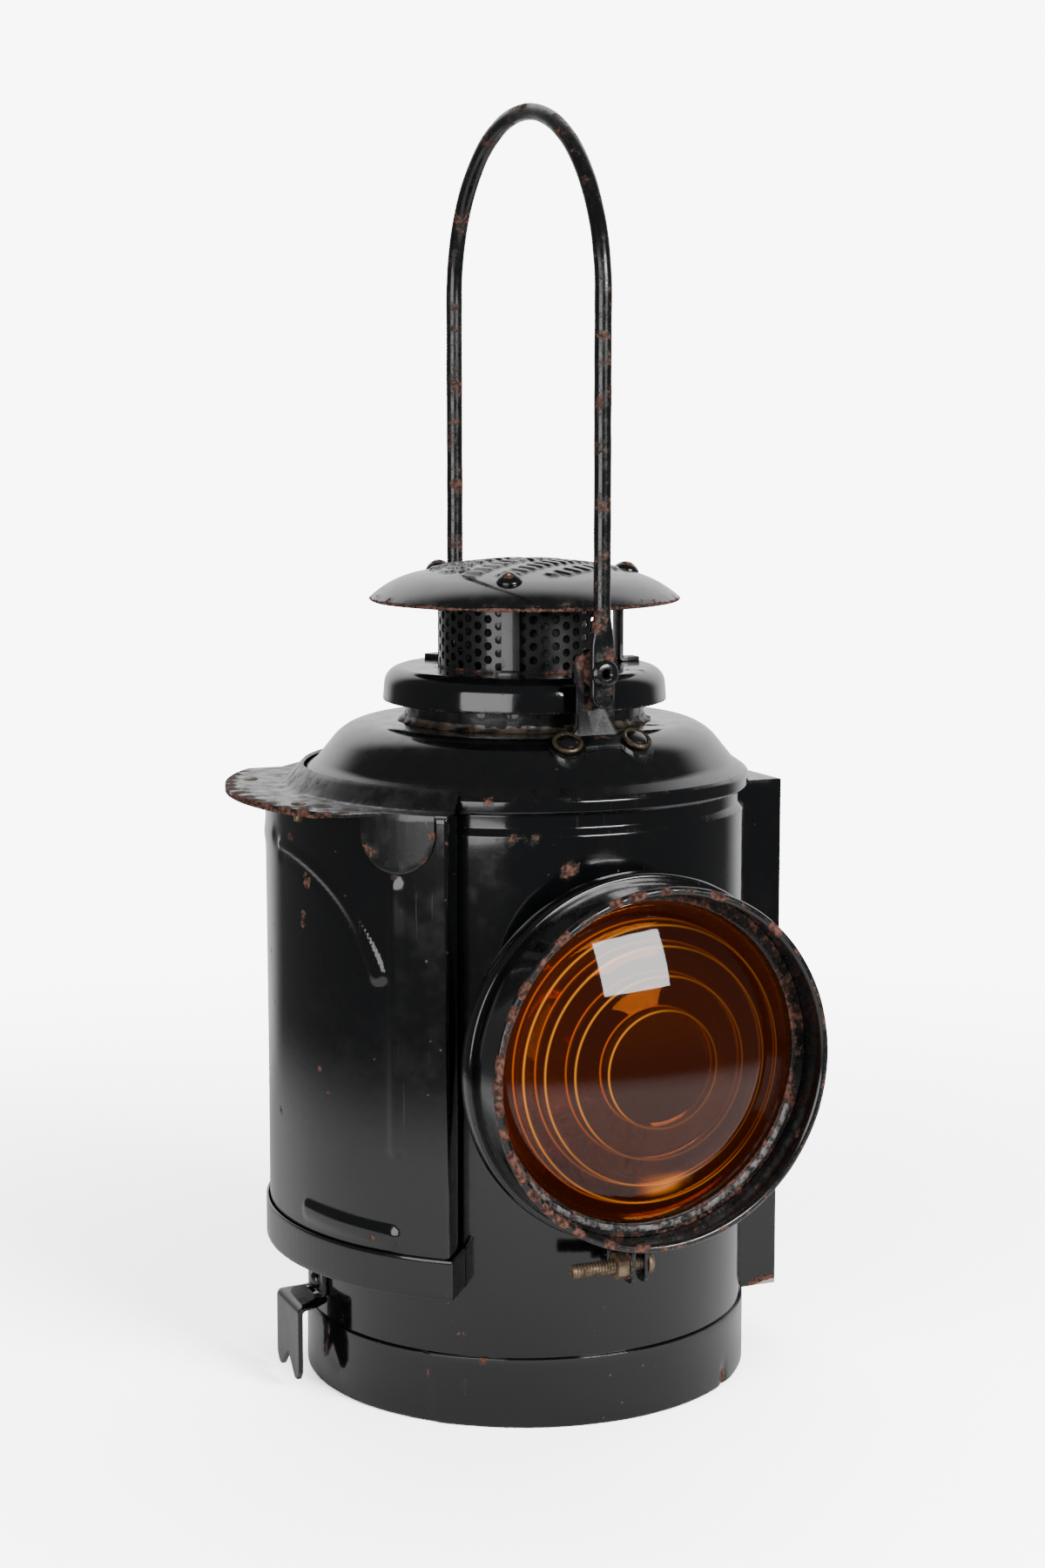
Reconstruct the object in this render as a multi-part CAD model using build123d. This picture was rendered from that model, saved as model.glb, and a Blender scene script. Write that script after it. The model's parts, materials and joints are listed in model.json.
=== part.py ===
from build123d import *
import os
from math import asin, atan2, cos, degrees, hypot, radians, sin, sqrt

os.makedirs("parts", exist_ok=True)

# A railway signal oil lamp. Millimetres, +Z up, origin at the centre of the base.
# The lens faces -Y, the sliding door is on -X and the bracket socket is on +X.
# A "bearing" is an angle round the case in degrees, from the lens (-Y) towards the socket (+X).

# Sheet thicknesses, gaps and small fits
case_sheet = 0.9
pressed_sheet = 1.0
brim_sheet = 1.1
hook_plate = 1.6
seat_gap = 0.05
slide_gap = 0.35
pin_gap = 0.05
rivet_shank_r = 1.6

# Case
case_r = 75.0
case_top_z = 196.6
neck_step = 1.4
groove_r = case_r - neck_step
neck_height = 5.5
bead_bottom_z = case_top_z + neck_height
bead_proud = 1.3
bead_r = case_r + bead_proud
seam_proud = 0.8
dome_seam_r = case_r + seam_proud
bead_height = 5.4
dome_seam_z = bead_bottom_z + bead_height
band_height = 23.6
band_sheet = 1.1
band_hem = 5.0
floor_z = 24.0
floor_rim = 9.0

# Dome, neck, draught ring and chimney
dome_rise = 16.8
dome_flat_z = dome_seam_z + dome_rise
dome_run = 15.4
dome_corner_r = dome_seam_r - dome_run
dome_shoulder = 25.7
flare_run = 4.8
dome_flare_r = dome_seam_r - flare_run
flare_rise = 3.5
dome_flare_z = dome_seam_z + flare_rise
dome_flare = 8.0
neck_r = 40.6
ring_overhang = 7.6
ring_lip_r = neck_r + ring_overhang
ring_gap = 7.1
ring_lip_z = dome_flat_z + ring_gap
ring_height = 11.1
ring_top_z = ring_lip_z + ring_height
ring_shoulder = 6.0
ring_lean = 0.8
throat_r = 26.0
screen_seat = 3.3
screen_r = throat_r + screen_seat
screen_sheet = 0.7
vent_r = 2.5
vent_count = 24
cap_rise = 35.5
cap_top_z = ring_top_z + cap_rise
cap_crown_r = 37.0
cap_turn = 15.8
cap_rim_r = cap_crown_r + cap_turn
cap_crown_drop = 4.1
cap_turn_r = 33.7
strap_stand = 4.7
strap_r = screen_r + strap_stand
strap_width = 6.0
strap_thick = 1.6
strap_foot = 6.0
strap_bearing = -32.0
strap_count = 3
palm_rivet = 4.0
cap_rivet_r = strap_r + palm_rivet
cap_rivet_head_r = 3.8
cap_rivet_head = 2.4
cap_rivet_tip_r = 0.8
cap_rivet_flange = 0.7
palm_gap = 0.35
palm_reach = 3.5
palm_fall = 2.0
strap_bend = 1.8

# Bail handle and its brackets, front and rear
bail_y = 60.0
bail_wire_r = 2.8
pivot_rise = 21.2
bail_pivot_z = dome_flat_z + pivot_rise
bail_leg = 120.7
bail_arch_z = bail_pivot_z + bail_leg
tongue_thick = 3.4
tongue_half = 4.0
tongue_above = 13.5
tongue_below = 11.5
pivot_r = 2.4
pivot_head_r = 4.6
pivot_head = 2.2
pivot_hole_r = 1.3
ear_thick = 2.0
ear_r = 8.0
ear_neck_half = 6.5
ear_foot_half = 9.0
washer_r = 5.2
washer_thick = 1.4
bail_shoulder = 5.0
ear_flare = 4.5
ear_sink = 0.8
lobe_waist = 2.6
pivot_flange = 1.3
foot_thick = 2.0
foot_inset = 0.5
foot_y = bail_y - foot_inset
foot_lobe_r = 6.2
foot_rivet_x = 12.2
foot_rivet_head_r = 4.9
foot_rivet_head = 1.6
foot_shank_r = 1.4

# Sliding door and its sill
door_bearing = -94.0
door_half = 53.7
door_stand = 13.5
door_r = case_r + door_stand
door_bottom_z = 58.8
door_over = 0.5
door_top_z = bead_bottom_z + door_over
door_lip = 4.6
lip_stand = 2.8
door_lip_r = case_r + lip_stand
guide_over = 1.4
guide_lip_r = door_lip_r + guide_over
guide_step = 6.0
guide_half = door_half - guide_step
guide_lip = 4.6
guide_lift = 3.2
guide_bottom_z = door_bottom_z + guide_lift
window_step = 4.7
window_half = guide_half - window_step
window_lift = 7.2
window_bottom_z = door_bottom_z + window_lift
window_drop = 14.6
window_top_z = door_top_z - window_drop
sill_drop = 12.1
sill_bottom_z = door_bottom_z - sill_drop
sill_lap = 1.2
sill_top_z = door_bottom_z + sill_lap
swage_raise = 0.8
swage_width = 5.0
swage_upright = 44.0
swage_foot_end = 14.0
swage_foot_rise = 4.5
swage_foot_high = 4.0
swage_low = 32.0
swage_short = 21.0
collar_reach = 5.9
collar_low_r = bead_r + collar_reach
collar_lean = 0.4
collar_top_r = bead_r - collar_lean
collar_rise = 7.6
collar_top_z = door_top_z + collar_rise
brim_width = 13.9
brim_reach = door_r + brim_width
brim_circle_r = 88.6
brim_half = 56.0
brim_corner = 18.0
stiffener_step = 8.5
stiffener_half = brim_half - stiffener_step
brim_rivet_in = 5.0
brim_rivet_r = door_r + brim_rivet_in
brim_rivet_angle = 18.5
brim_rivet_head_r = 2.6
brim_rivet_tail = 3.0
tab_angle = 42.5
tab_half = 13.5
tab_drop = 18.2
tab_bottom_z = door_top_z - tab_drop

# Lens, its socket, hood and clamp
lens_z = 125.0
lens_hole_r = 46.5
lens_tube = 1.0
socket_depth = 11.0
lens_socket_y = case_r + socket_depth
lens_flange_r = 54.5
socket_rim = 2.0
lens_socket_r = lens_flange_r + socket_rim
lens_land = 2.5
lens_visible_r = lens_flange_r - lens_land
lens_edge = 6.5
lens_bulge = 12.5
lens_wall = 7.0
ring_radii = (18.9, 29.4, 38.4, 44.7, 49.6)
ring_step = 2.4
gasket_thick = 1.5
gasket_lap = 1.5
gasket_inner_r = lens_visible_r - gasket_lap
hood_fit = 0.1
hood_inner_r = lens_socket_r + hood_fit
hood_sheet = 1.0
hood_overlap = 2.0
hood_back_y = lens_socket_y - hood_overlap
hood_length = 22.2
hood_rim_y = hood_back_y + hood_length
hood_wire_r = 1.5
clamp_set = 1.0
clamp_back_y = hood_back_y - clamp_set
clamp_width = 7.0
clamp_front_y = clamp_back_y + clamp_width
clamp_thick = 2.6
lug_gap = 3.2
lug_thick = 1.5
lug_bottom_z = 51.0
bolt_r = 2.38
bolt_z = 57.0
bolt_reach = 23.0
bolt_head_r = 4.4
bolt_head = 3.0
nut_flats = 8.0
nut_thick = 4.0
clamp_washer = 0.8

# Bracket socket on the +X side
pocket_stand = 17.0
socket_out_x = case_r + pocket_stand
socket_width = 30.0
socket_wall = 1.5
socket_bottom_z = 17.0
pocket_gap = 2.1
socket_top_z = bead_bottom_z - pocket_gap

# Locating hook under the door
hook_bearing = -93.0
hook_stand = 10.0
hook_reach = case_r + hook_stand
hook_width = 25.0
hook_tab_width = 16.0
hook_tip_width = 20.0
hook_bend_z = 28.4
hook_tip_z = 4.3
hook_notch = 7.2
hook_notch_z = hook_tip_z + hook_notch
hook_rivet_rise = 6.6
hook_rivet_z = hook_bend_z + hook_rivet_rise
hook_tab_rise = 5.0
hook_tab_top_z = hook_rivet_z + hook_tab_rise
hook_rivet_head_r = 3.4
hook_rivet_head = 1.8
hook_corner = 3.0
hook_tine = 2.5
hook_window_half = 4.5
hook_window_lift = 0.4
hook_window_z = hook_bend_z + hook_window_lift
hook_window_high = 3.0

# Oil fount and burner inside
fount_r = 42.0
fount_height = 46.0
fount_wall = 0.8
fount_clear = 0.1
filler_y = 27.0
filler_neck_r = 7.0
filler_cap_r = 9.0
filler_cap_height = 7.0
filler_grips = 16
burner_r = 15.0
burner_collar = 8.0
burner_base = 12.0
gallery_r = 21.0
gallery_rise = 3.0
burner_holes = 12
burner_hole_r = 1.6
burner_skin = 1.2
wick_width = 15.0
wick_thick = 2.6
wick_tube_wall = 0.6
wick_tube_top = 24.0
wick_show = 2.0
wick_tail = 34.0
wick_fit = 0.1
cone_height = 13.0
cone_slot = 7.0
spindle_r = 1.25
spindle_rise = 5.0
wheel_r = 4.0
wheel_wall = 2.4
knob_r = 6.0
knob_thick = 3.0
knob_x = 33.0
knob_grips = 20
knob_groove_r = 0.5
filler_groove_r = 0.7
chimney_glass_r = 19.0
chimney_glass_bulge = 21.0
chimney_glass_top = 13.0
chimney_glass_height = 88.0
chimney_glass_wall = 1.4


def turned(shape, bearing):
    """Swing a shape modelled on +X round the case to a bearing."""
    return Rot(0, 0, bearing - 90) * shape


def spun(points, arc=360, start=0):
    """Turn a closed outline of (radius, z) points round the Z axis."""
    face = make_face(Plane.XZ * Polyline(*points, close=True))
    return Rot(0, 0, start) * revolve(face, axis=Axis.Z, revolution_arc=arc)


def spun_sheet(line, thickness, side, arc=360, start=0):
    """Turn a sheet round the Z axis, from the line of one of its faces."""
    outline = offset(Plane.XZ * line, thickness, side=side, closed=True)
    face = make_face(outline.edges())
    return Rot(0, 0, start) * revolve(face, axis=Axis.Z, revolution_arc=arc)


def tube(outer_r, inner_r, low, high):
    """A plain ring standing on the Z axis."""
    return spun([(inner_r, low), (outer_r, low), (outer_r, high), (inner_r, high)])


def sector(outer_r, inner_r, low, high, half, centre=0):
    """A piece of such a ring, half degrees each side of centre on +X."""
    outline = [(inner_r, low), (outer_r, low), (outer_r, high), (inner_r, high)]
    return spun(outline, 2 * half, centre - half)


def sheet_angle(thickness, radius):
    """The angle that a thickness takes up at a radius, in degrees."""
    return degrees(thickness / radius)


def disc(radius, low, high, x=0, y=0):
    """A round solid standing between two heights."""
    return Pos(x, y, low) * Cylinder(radius, high - low, align=(Align.CENTER, Align.CENTER, Align.MIN))


def slab(x0, x1, y0, y1, z0, z1):
    """A box between two corners."""
    return Pos(x0, y0, z0) * Box(x1 - x0, y1 - y0, z1 - z0, align=(Align.MIN, Align.MIN, Align.MIN))


def lens_turned(points):
    """Turn an outline of (radius, distance forward) points round the lens axis."""
    return Pos(0, 0, lens_z) * Rot(90, 0, 0) * spun(points)


def rivet(head_r, head, shank_r, shank):
    """A round-headed rivet: its head stands on the XY plane and its shank goes down."""
    crown_r = (head_r**2 + head**2) / (2 * head)
    crown = Pos(0, 0, head - crown_r) * Sphere(crown_r)
    head_solid = crown & disc(head_r + 1, 0, head + 1)
    return head_solid + disc(shank_r, -shank, 0)


def save(shape, name):
    """Write one node, as its solids."""
    solids = shape.solids()
    export_step(Compound(children=list(solids)) if len(solids) > 1 else solids[0], f"parts/{name}.step")


# ---- case ----

lens_bore = Pos(0, 0, lens_z) * Rot(90, 0, 0) * disc(lens_hole_r, 0, 2 * case_r)
hook_rivet_hole_r = rivet_shank_r + seat_gap


def hook_rivet_bore():
    bore = Pos(0, 0, hook_rivet_z) * Rot(0, 90, 0) * disc(hook_rivet_hole_r, 0, 2 * case_r)
    return turned(bore, hook_bearing)


def body_shell():
    """The case: one rolled sheet, necked in at the top where the dome fits over it."""
    line = Polyline(
        (case_r, pressed_sheet),
        (case_r, case_top_z - 1),
        (groove_r, case_top_z + 1),
        (groove_r, bead_bottom_z + 3),
    )
    shell = spun_sheet(line, case_sheet, Side.LEFT)
    window = turned(sector(case_r + 5, 40, window_bottom_z, window_top_z, window_half), door_bearing)
    return shell - window - lens_bore - hook_rivet_bore()


def base_band():
    """The foot: a hemmed band round the bottom of the case, which the lamp stands on."""
    outer = case_r + band_sheet
    points = [
        (case_r - band_hem, 0),
        (outer, 0),
        (outer, band_height),
        (case_r, band_height),
        (case_r, pressed_sheet),
        (case_r - band_hem, pressed_sheet),
    ]
    return spun(points)


def floor_pan():
    """The raised floor that carries the fount, with a turned-down rim."""
    outer = case_r - case_sheet - seat_gap
    points = [
        (0, floor_z),
        (outer, floor_z),
        (outer, floor_z - floor_rim),
        (outer - case_sheet, floor_z - floor_rim),
        (outer - case_sheet, floor_z - case_sheet),
        (0, floor_z - case_sheet),
    ]
    return spun(points)


# ---- dome, neck and chimney ----

def dome_line():
    """The dome's outer face: flat crown, round shoulder, and a flare down to the seam."""
    return FilletPolyline(
        (neck_r - 2.0, dome_flat_z),
        (dome_corner_r, dome_flat_z),
        (dome_flare_r, dome_flare_z),
        (dome_seam_r, dome_seam_z),
        radius=[dome_shoulder, dome_flare],
    )


def dome_top():
    """The pressed top, with the rolled bead that sits over the neck of the case."""
    top = dome_seam_z + 0.1
    bead_root = dome_seam_r - 0.6
    inner = groove_r + seat_gap
    middle = (bead_bottom_z + top) / 2
    roll = ThreePointArc((bead_root, top), (bead_r, middle), (bead_root, bead_bottom_z))
    back = Polyline((bead_root, bead_bottom_z), (inner, bead_bottom_z), (inner, top), (bead_root, top))
    bead = revolve(make_face((Plane.XZ * (Curve() + roll + back)).edges()), axis=Axis.Z)
    return spun_sheet(dome_line(), pressed_sheet, Side.RIGHT) + bead


def neck_collar():
    """The neck on the dome, with a row of air holes hidden inside the draught ring."""
    top = ring_top_z - pressed_sheet - seat_gap
    collar = tube(neck_r, neck_r - case_sheet, dome_flat_z, top)
    vent_z = (ring_lip_z + top) / 2 + 0.5
    bore = Pos(0, 0, vent_z) * Rot(0, 90, 0) * disc(vent_r, neck_r - 5, neck_r + 5)
    for i in range(vent_count):
        collar -= Rot(0, 0, i * 360 / vent_count) * bore
    return collar


def draught_ring():
    """The inverted cup over the neck, which keeps wind out of the air holes."""
    line = FilletPolyline(
        (ring_lip_r, ring_lip_z), (ring_lip_r - ring_lean, ring_top_z), (throat_r, ring_top_z), radius=[ring_shoulder]
    )
    return spun_sheet(line, pressed_sheet, Side.RIGHT)


cap_ball = (cap_crown_r**2 + cap_crown_drop**2) / (2 * cap_crown_drop)
cap_crown_tilt = asin(cap_crown_r / cap_ball)
cap_turn_x = cap_crown_r - cap_turn_r * sin(cap_crown_tilt)
cap_turn_z = cap_top_z - cap_crown_drop - cap_turn_r * cos(cap_crown_tilt)
cap_rim_tilt = asin((cap_rim_r - cap_turn_x) / cap_turn_r)


def crown_point(tilt, depth):
    """A point on the cap's crown, at a depth under its outer face."""
    return ((cap_ball - depth) * sin(tilt), cap_top_z - cap_ball + (cap_ball - depth) * cos(tilt))


def turn_point(tilt, depth):
    """A point on the turned-down part of the cap."""
    return (cap_turn_x + (cap_turn_r - depth) * sin(tilt), cap_turn_z + (cap_turn_r - depth) * cos(tilt))


def arc_through(point, tilt_a, tilt_b, depth):
    """An arc of the cap's outline between two tilts."""
    return ThreePointArc(point(tilt_a, depth), point((tilt_a + tilt_b) / 2, depth), point(tilt_b, depth))


def cap_sheet():
    """The cap without its holes: a shallow crown that turns down towards the rim."""
    deep = pressed_sheet
    outline = Curve() + arc_through(crown_point, 0, cap_crown_tilt, 0)
    outline += arc_through(turn_point, cap_crown_tilt, cap_rim_tilt, 0)
    outline += Line(turn_point(cap_rim_tilt, 0), turn_point(cap_rim_tilt, deep))
    outline += arc_through(turn_point, cap_rim_tilt, cap_crown_tilt, deep)
    outline += arc_through(crown_point, cap_crown_tilt, 0, deep)
    outline += Line(crown_point(0, deep), crown_point(0, 0))
    return revolve(make_face((Plane.XZ * outline).edges()), axis=Axis.Z)


def cap_z(radius):
    """Height of the cap's outer face at a radius inside its crown."""
    return cap_top_z - cap_ball + sqrt(cap_ball**2 - radius**2)


def chimney_cap():
    """The rain cap over the chimney."""
    bore = disc(rivet_shank_r + seat_gap, ring_top_z, cap_top_z + 5, x=cap_rivet_r)
    cap = cap_sheet()
    for i in range(strap_count):
        cap -= turned(bore, strap_bearing + i * 360 / strap_count)
    return cap


def chimney_screen():
    """The perforated chimney. Its holes are left to the visual model."""
    return tube(screen_r, screen_r - screen_sheet, ring_top_z, cap_z(screen_r) - pressed_sheet - 0.6)


palm_top_z = cap_z(strap_r + strap_thick) - pressed_sheet - palm_gap


def chimney_strap():
    """One of the legs that carry the cap, with a foot on the ring and a palm under the cap."""
    foot_end = strap_r + strap_thick + strap_foot
    palm_end = cap_rivet_r + palm_reach
    line = FilletPolyline(
        (foot_end, ring_top_z),
        (strap_r, ring_top_z),
        (strap_r, palm_top_z),
        (palm_end, palm_top_z - palm_fall),
        radius=[strap_bend, strap_bend],
    )
    outline = offset(Plane.XZ * line, strap_thick, side=Side.RIGHT, closed=True)
    strap = extrude(make_face(outline.edges()), strap_width / 2, both=True)
    bore = disc(rivet_shank_r + seat_gap, ring_top_z + 5, cap_top_z, x=cap_rivet_r)
    return strap - bore


def cap_rivet():
    """A pointed rivet head on the cap, with its shank through the strap."""
    seat_z = cap_z(cap_crown_r) - 0.2
    palm_low = palm_top_z - palm_fall - strap_thick
    upright = (Align.CENTER, Align.CENTER, Align.MIN)
    head = Pos(cap_rivet_r, 0, seat_z) * Cone(cap_rivet_head_r, cap_rivet_tip_r, cap_rivet_head, align=upright)
    shank = disc(rivet_shank_r, palm_low, seat_z + seat_gap, x=cap_rivet_r)
    tail = disc(rivet_shank_r + cap_rivet_flange, palm_low - cap_rivet_flange, palm_low, x=cap_rivet_r)
    return (head - cap_sheet()) + shank + tail


# ---- bail and brackets ----

ear_outer_y = bail_y - tongue_thick / 2 - 2 * slide_gap - washer_thick
ear_inner_y = ear_outer_y - ear_thick


def dome_cover(thickness):
    """A skin over the dome, for pieces that are pressed to its shape."""
    return spun_sheet(dome_line(), thickness, Side.LEFT)


def dome_fill():
    """Everything under the dome's outer face."""
    start_r = neck_r - 2.0
    closing = Polyline((dome_seam_r, dome_seam_z), (dome_seam_r, 0), (0, 0), (0, dome_flat_z), (start_r, dome_flat_z))
    return revolve(make_face((Plane.XZ * (Curve() + dome_line() + closing)).edges()), axis=Axis.Z)


def handle_bracket():
    """Front bracket: a foot pressed to the dome, two lobes, and an upright ear for the pivot."""
    lobes = Pos(foot_rivet_x, -foot_y) * Circle(foot_lobe_r) + Pos(-foot_rivet_x, -foot_y) * Circle(foot_lobe_r)
    waist_y = -foot_y - lobe_waist
    plan = lobes + make_face(
        Polyline(
            (-ear_foot_half, -ear_inner_y),
            (ear_foot_half, -ear_inner_y),
            (foot_rivet_x, -foot_y + foot_lobe_r),
            (foot_rivet_x, waist_y),
            (-foot_rivet_x, waist_y),
            (-foot_rivet_x, -foot_y + foot_lobe_r),
            close=True,
        )
    )
    foot = extrude(plan, dome_flat_z + 10) & dome_cover(foot_thick)
    ear_low = dome_flat_z - ear_sink
    outline = make_face(
        Polyline(
            (-ear_foot_half, ear_low),
            (ear_foot_half, ear_low),
            (ear_neck_half, ear_low + ear_flare),
            (ear_neck_half, bail_pivot_z),
            (-ear_neck_half, bail_pivot_z),
            (-ear_neck_half, ear_low + ear_flare),
            close=True,
        )
    )
    outline += Pos(0, bail_pivot_z) * Circle(ear_r)
    outline -= Pos(0, bail_pivot_z) * Circle(pivot_r + seat_gap)
    ear = Pos(0, -ear_inner_y, 0) * extrude(Plane.XZ * outline, ear_thick)
    whole = foot + (ear - dome_fill())
    for x in (-foot_rivet_x, foot_rivet_x):
        whole -= on_lobe(x, disc(foot_shank_r + seat_gap, -2 * foot_thick, 2 * foot_thick))
    return whole


def on_lobe(x, shape):
    """Stand a shape on the dome at one lobe of the front bracket."""
    radius = hypot(x, foot_y)
    height, slope = dome_slope(radius)
    return turned(Pos(radius, 0, height) * Rot(0, slope, 0) * shape, degrees(atan2(x, foot_y)))


def dome_slope(radius):
    """Height and downward slope of the dome at a radius, from its outline."""
    line = dome_line()
    low, high = 0.0, 1.0
    for _ in range(40):
        middle = (low + high) / 2
        if (line @ middle).X < radius:
            low = middle
        else:
            high = middle
    along = line % low
    return (line @ low).Y, degrees(atan2(-along.Y, along.X))


def bracket_rivet(x):
    """A large flat-headed rivet on one lobe of the front bracket."""
    shape = rivet(foot_rivet_head_r, foot_rivet_head, foot_shank_r, foot_thick)
    return on_lobe(x, Pos(0, 0, foot_thick) * shape)


def pivot_rivet():
    """The front pivot: a hollow rivet through the ear, a washer and the bail's tongue."""
    outer = bail_y + tongue_thick / 2 + slide_gap
    head = Pos(0, -outer, bail_pivot_z) * Rot(90, 0, 0) * rivet(pivot_head_r, pivot_head, pivot_r, outer - ear_inner_y)
    tail = Pos(0, -ear_inner_y, bail_pivot_z) * Rot(-90, 0, 0) * disc(pivot_r + pivot_flange, 0, pivot_flange)
    hole = Pos(0, -ear_inner_y + 5, bail_pivot_z) * Rot(90, 0, 0) * disc(pivot_hole_r, 0, 40)
    return head + tail - hole


def pivot_washer():
    """The washer between the ear and the bail."""
    ring = disc(washer_r, 0, washer_thick) - disc(pivot_r + seat_gap, 0, washer_thick)
    return Pos(0, -ear_outer_y, bail_pivot_z) * Rot(90, 0, 0) * ring


def bail():
    """The tall carrying handle: one wire, arched, with its ends flattened into tongues."""
    wire_low = bail_pivot_z + tongue_above - bail_wire_r
    leg = Line((-bail_y, wire_low), (-bail_y, bail_arch_z))
    arch = ThreePointArc((-bail_y, bail_arch_z), (0, bail_arch_z + bail_y), (bail_y, bail_arch_z))
    back = Line((bail_y, bail_arch_z), (bail_y, wire_low))
    path = Plane.YZ * (Curve() + leg + arch + back)
    start = Plane(origin=(0, -bail_y, wire_low), z_dir=(0, 0, 1))
    handle = sweep(start * Circle(bail_wire_r), path=Wire(path.edges()))
    low = bail_pivot_z - tongue_below
    high = bail_pivot_z + tongue_above
    flat = make_face(
        Polyline(
            (-tongue_half, low + tongue_half),
            (tongue_half, low + tongue_half),
            (tongue_half, high - bail_shoulder),
            (bail_wire_r, high),
            (-bail_wire_r, high),
            (-tongue_half, high - bail_shoulder),
            close=True,
        )
    )
    flat += Pos(0, low + tongue_half) * Circle(tongue_half)
    flat -= Pos(0, bail_pivot_z) * Circle(pivot_r + pin_gap)
    for side in (-1, 1):
        middle = side * bail_y + tongue_thick / 2
        handle += Pos(0, middle, 0) * extrude(Plane.XZ * flat, tongue_thick)
    return handle


# ---- door and sill ----

def door_panel():
    """The curved door: outer sheet, two side walls and the lips that run in the guides."""
    inner = door_r - case_sheet
    wall = sheet_angle(case_sheet, door_r)
    panel = sector(door_r, inner, door_bottom_z, door_top_z, door_half)
    lip_angle = sheet_angle(door_lip, door_lip_r) / 2
    for side in (-1, 1):
        edge = side * (door_half - wall / 2)
        panel += sector(door_r, door_lip_r - case_sheet, door_bottom_z, door_top_z, wall / 2, edge)
        lip_centre = side * (door_half - lip_angle)
        panel += sector(door_lip_r, door_lip_r - case_sheet, door_bottom_z, door_top_z, lip_angle, lip_centre)
    return panel + door_swages()


def door_swages():
    """The raised stiffening ridges pressed in the door: an upright, a foot and a sloping one."""
    high = door_r + swage_raise
    low = door_r - case_sheet / 2
    width = sheet_angle(swage_width, door_r) / 2
    upright = sector(high, low, door_bottom_z + swage_low, door_top_z - swage_short, width, swage_upright)
    foot_half = (swage_upright - swage_foot_end) / 2
    foot_z = door_bottom_z + swage_foot_rise
    foot = sector(high, low, foot_z, foot_z + swage_foot_high, foot_half, swage_upright - foot_half)
    return upright + foot


def collar_line():
    """Outer face of the door's collar: flat over the door's edge, then leaning over the bead."""
    flat_z = door_top_z + seat_gap + brim_sheet
    return FilletPolyline(
        (door_r + 0.4, flat_z), (collar_low_r, flat_z), (collar_top_r, collar_top_z), radius=[2.0]
    )


def brim_plan(half_width, corner):
    """Outline of the brim from above, modelled on +X."""
    centre = brim_reach - brim_circle_r
    reach = Pos(centre, 0) * Circle(brim_circle_r)
    length = 2 * brim_reach
    band = RectangleRounded(length, 2 * half_width, corner)
    return reach & band


def door_hood():
    """The pressing on top of the door: leaning collar, flat, lifting brim and two turned-down tabs."""
    collar = spun_sheet(collar_line(), brim_sheet, Side.LEFT, 2 * door_half, -door_half)
    low = door_top_z + seat_gap
    brim = Pos(0, 0, low) * extrude(brim_plan(brim_half, brim_corner), brim_sheet)
    brim -= disc(door_r, low - 5, low + 5)
    inner = door_r + seat_gap * 2
    outer = inner + brim_sheet
    tabs = None
    for side in (-1, 1):
        skin = sector(outer, inner, tab_bottom_z, low + brim_sheet, degrees(tab_half / outer), side * tab_angle)
        centre_z = tab_bottom_z + tab_half
        round_end = Pos(0, 0, centre_z) * Rot(0, 90, 0) * disc(tab_half, 0, 2 * outer)
        square_end = slab(0, 2 * outer, -tab_half, tab_half, centre_z, low + 5)
        tab = skin & (Rot(0, 0, side * tab_angle) * (round_end + square_end))
        tabs = tab if tabs is None else tabs + tab
    hood = collar + brim + tabs
    for side in (-1, 1):
        hood -= brim_bore(side)
    return hood


def brim_bore(side):
    """Hole for one of the brim's rivets."""
    angle = radians(side * brim_rivet_angle)
    x = brim_rivet_r * cos(angle)
    y = brim_rivet_r * sin(angle)
    return disc(rivet_shank_r + seat_gap, door_top_z - 20, door_top_z + 20, x=x, y=y)


def brim_stiffener():
    """The second layer under the brim."""
    high = door_top_z
    plate = Pos(0, 0, high - brim_sheet) * extrude(brim_plan(stiffener_half, brim_corner), brim_sheet)
    plate -= disc(door_r + 2 * seat_gap, high - 10, high + 10)
    for side in (-1, 1):
        plate -= brim_bore(side)
    return plate


def brim_rivet(side):
    """A flush rivet through both layers of the brim, with its tail showing below."""
    angle = radians(side * brim_rivet_angle)
    top = door_top_z + seat_gap + brim_sheet
    shape = rivet(brim_rivet_head_r, 0.5, rivet_shank_r, 2 * brim_sheet + seat_gap + brim_rivet_tail)
    return Pos(brim_rivet_r * cos(angle), brim_rivet_r * sin(angle), top) * shape


def door_sill():
    """The fixed channel under the door, closed at the ends, that the door drops into."""
    inner = door_r + slide_gap
    outer = inner + case_sheet
    back = case_r + seat_gap
    half = door_half + sheet_angle(slide_gap + case_sheet, case_r)
    wall = sheet_angle(case_sheet, outer)
    sill = sector(outer, inner, sill_bottom_z, sill_top_z, half)
    sill += sector(outer, back, sill_bottom_z, sill_bottom_z + case_sheet, half)
    for side in (-1, 1):
        sill += sector(outer, back, sill_bottom_z, sill_top_z, wall / 2, side * (half - wall / 2))
    return sill


def door_guide(side):
    """An upright angle on the case whose lip holds the door's lip in."""
    wall = sheet_angle(case_sheet, guide_lip_r) / 2
    leg = sector(guide_lip_r, case_r + seat_gap, guide_bottom_z, case_top_z - 2, wall, side * guide_half)
    lip_angle = sheet_angle(guide_lip, guide_lip_r) / 2
    centre = side * (guide_half - wall + lip_angle)
    lip = sector(guide_lip_r, guide_lip_r - case_sheet, guide_bottom_z, case_top_z - 2, lip_angle, centre)
    return leg + lip


# ---- lens group ----

lens_back_y = lens_socket_y + gasket_thick
lens_front_y = lens_back_y + lens_edge


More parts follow.
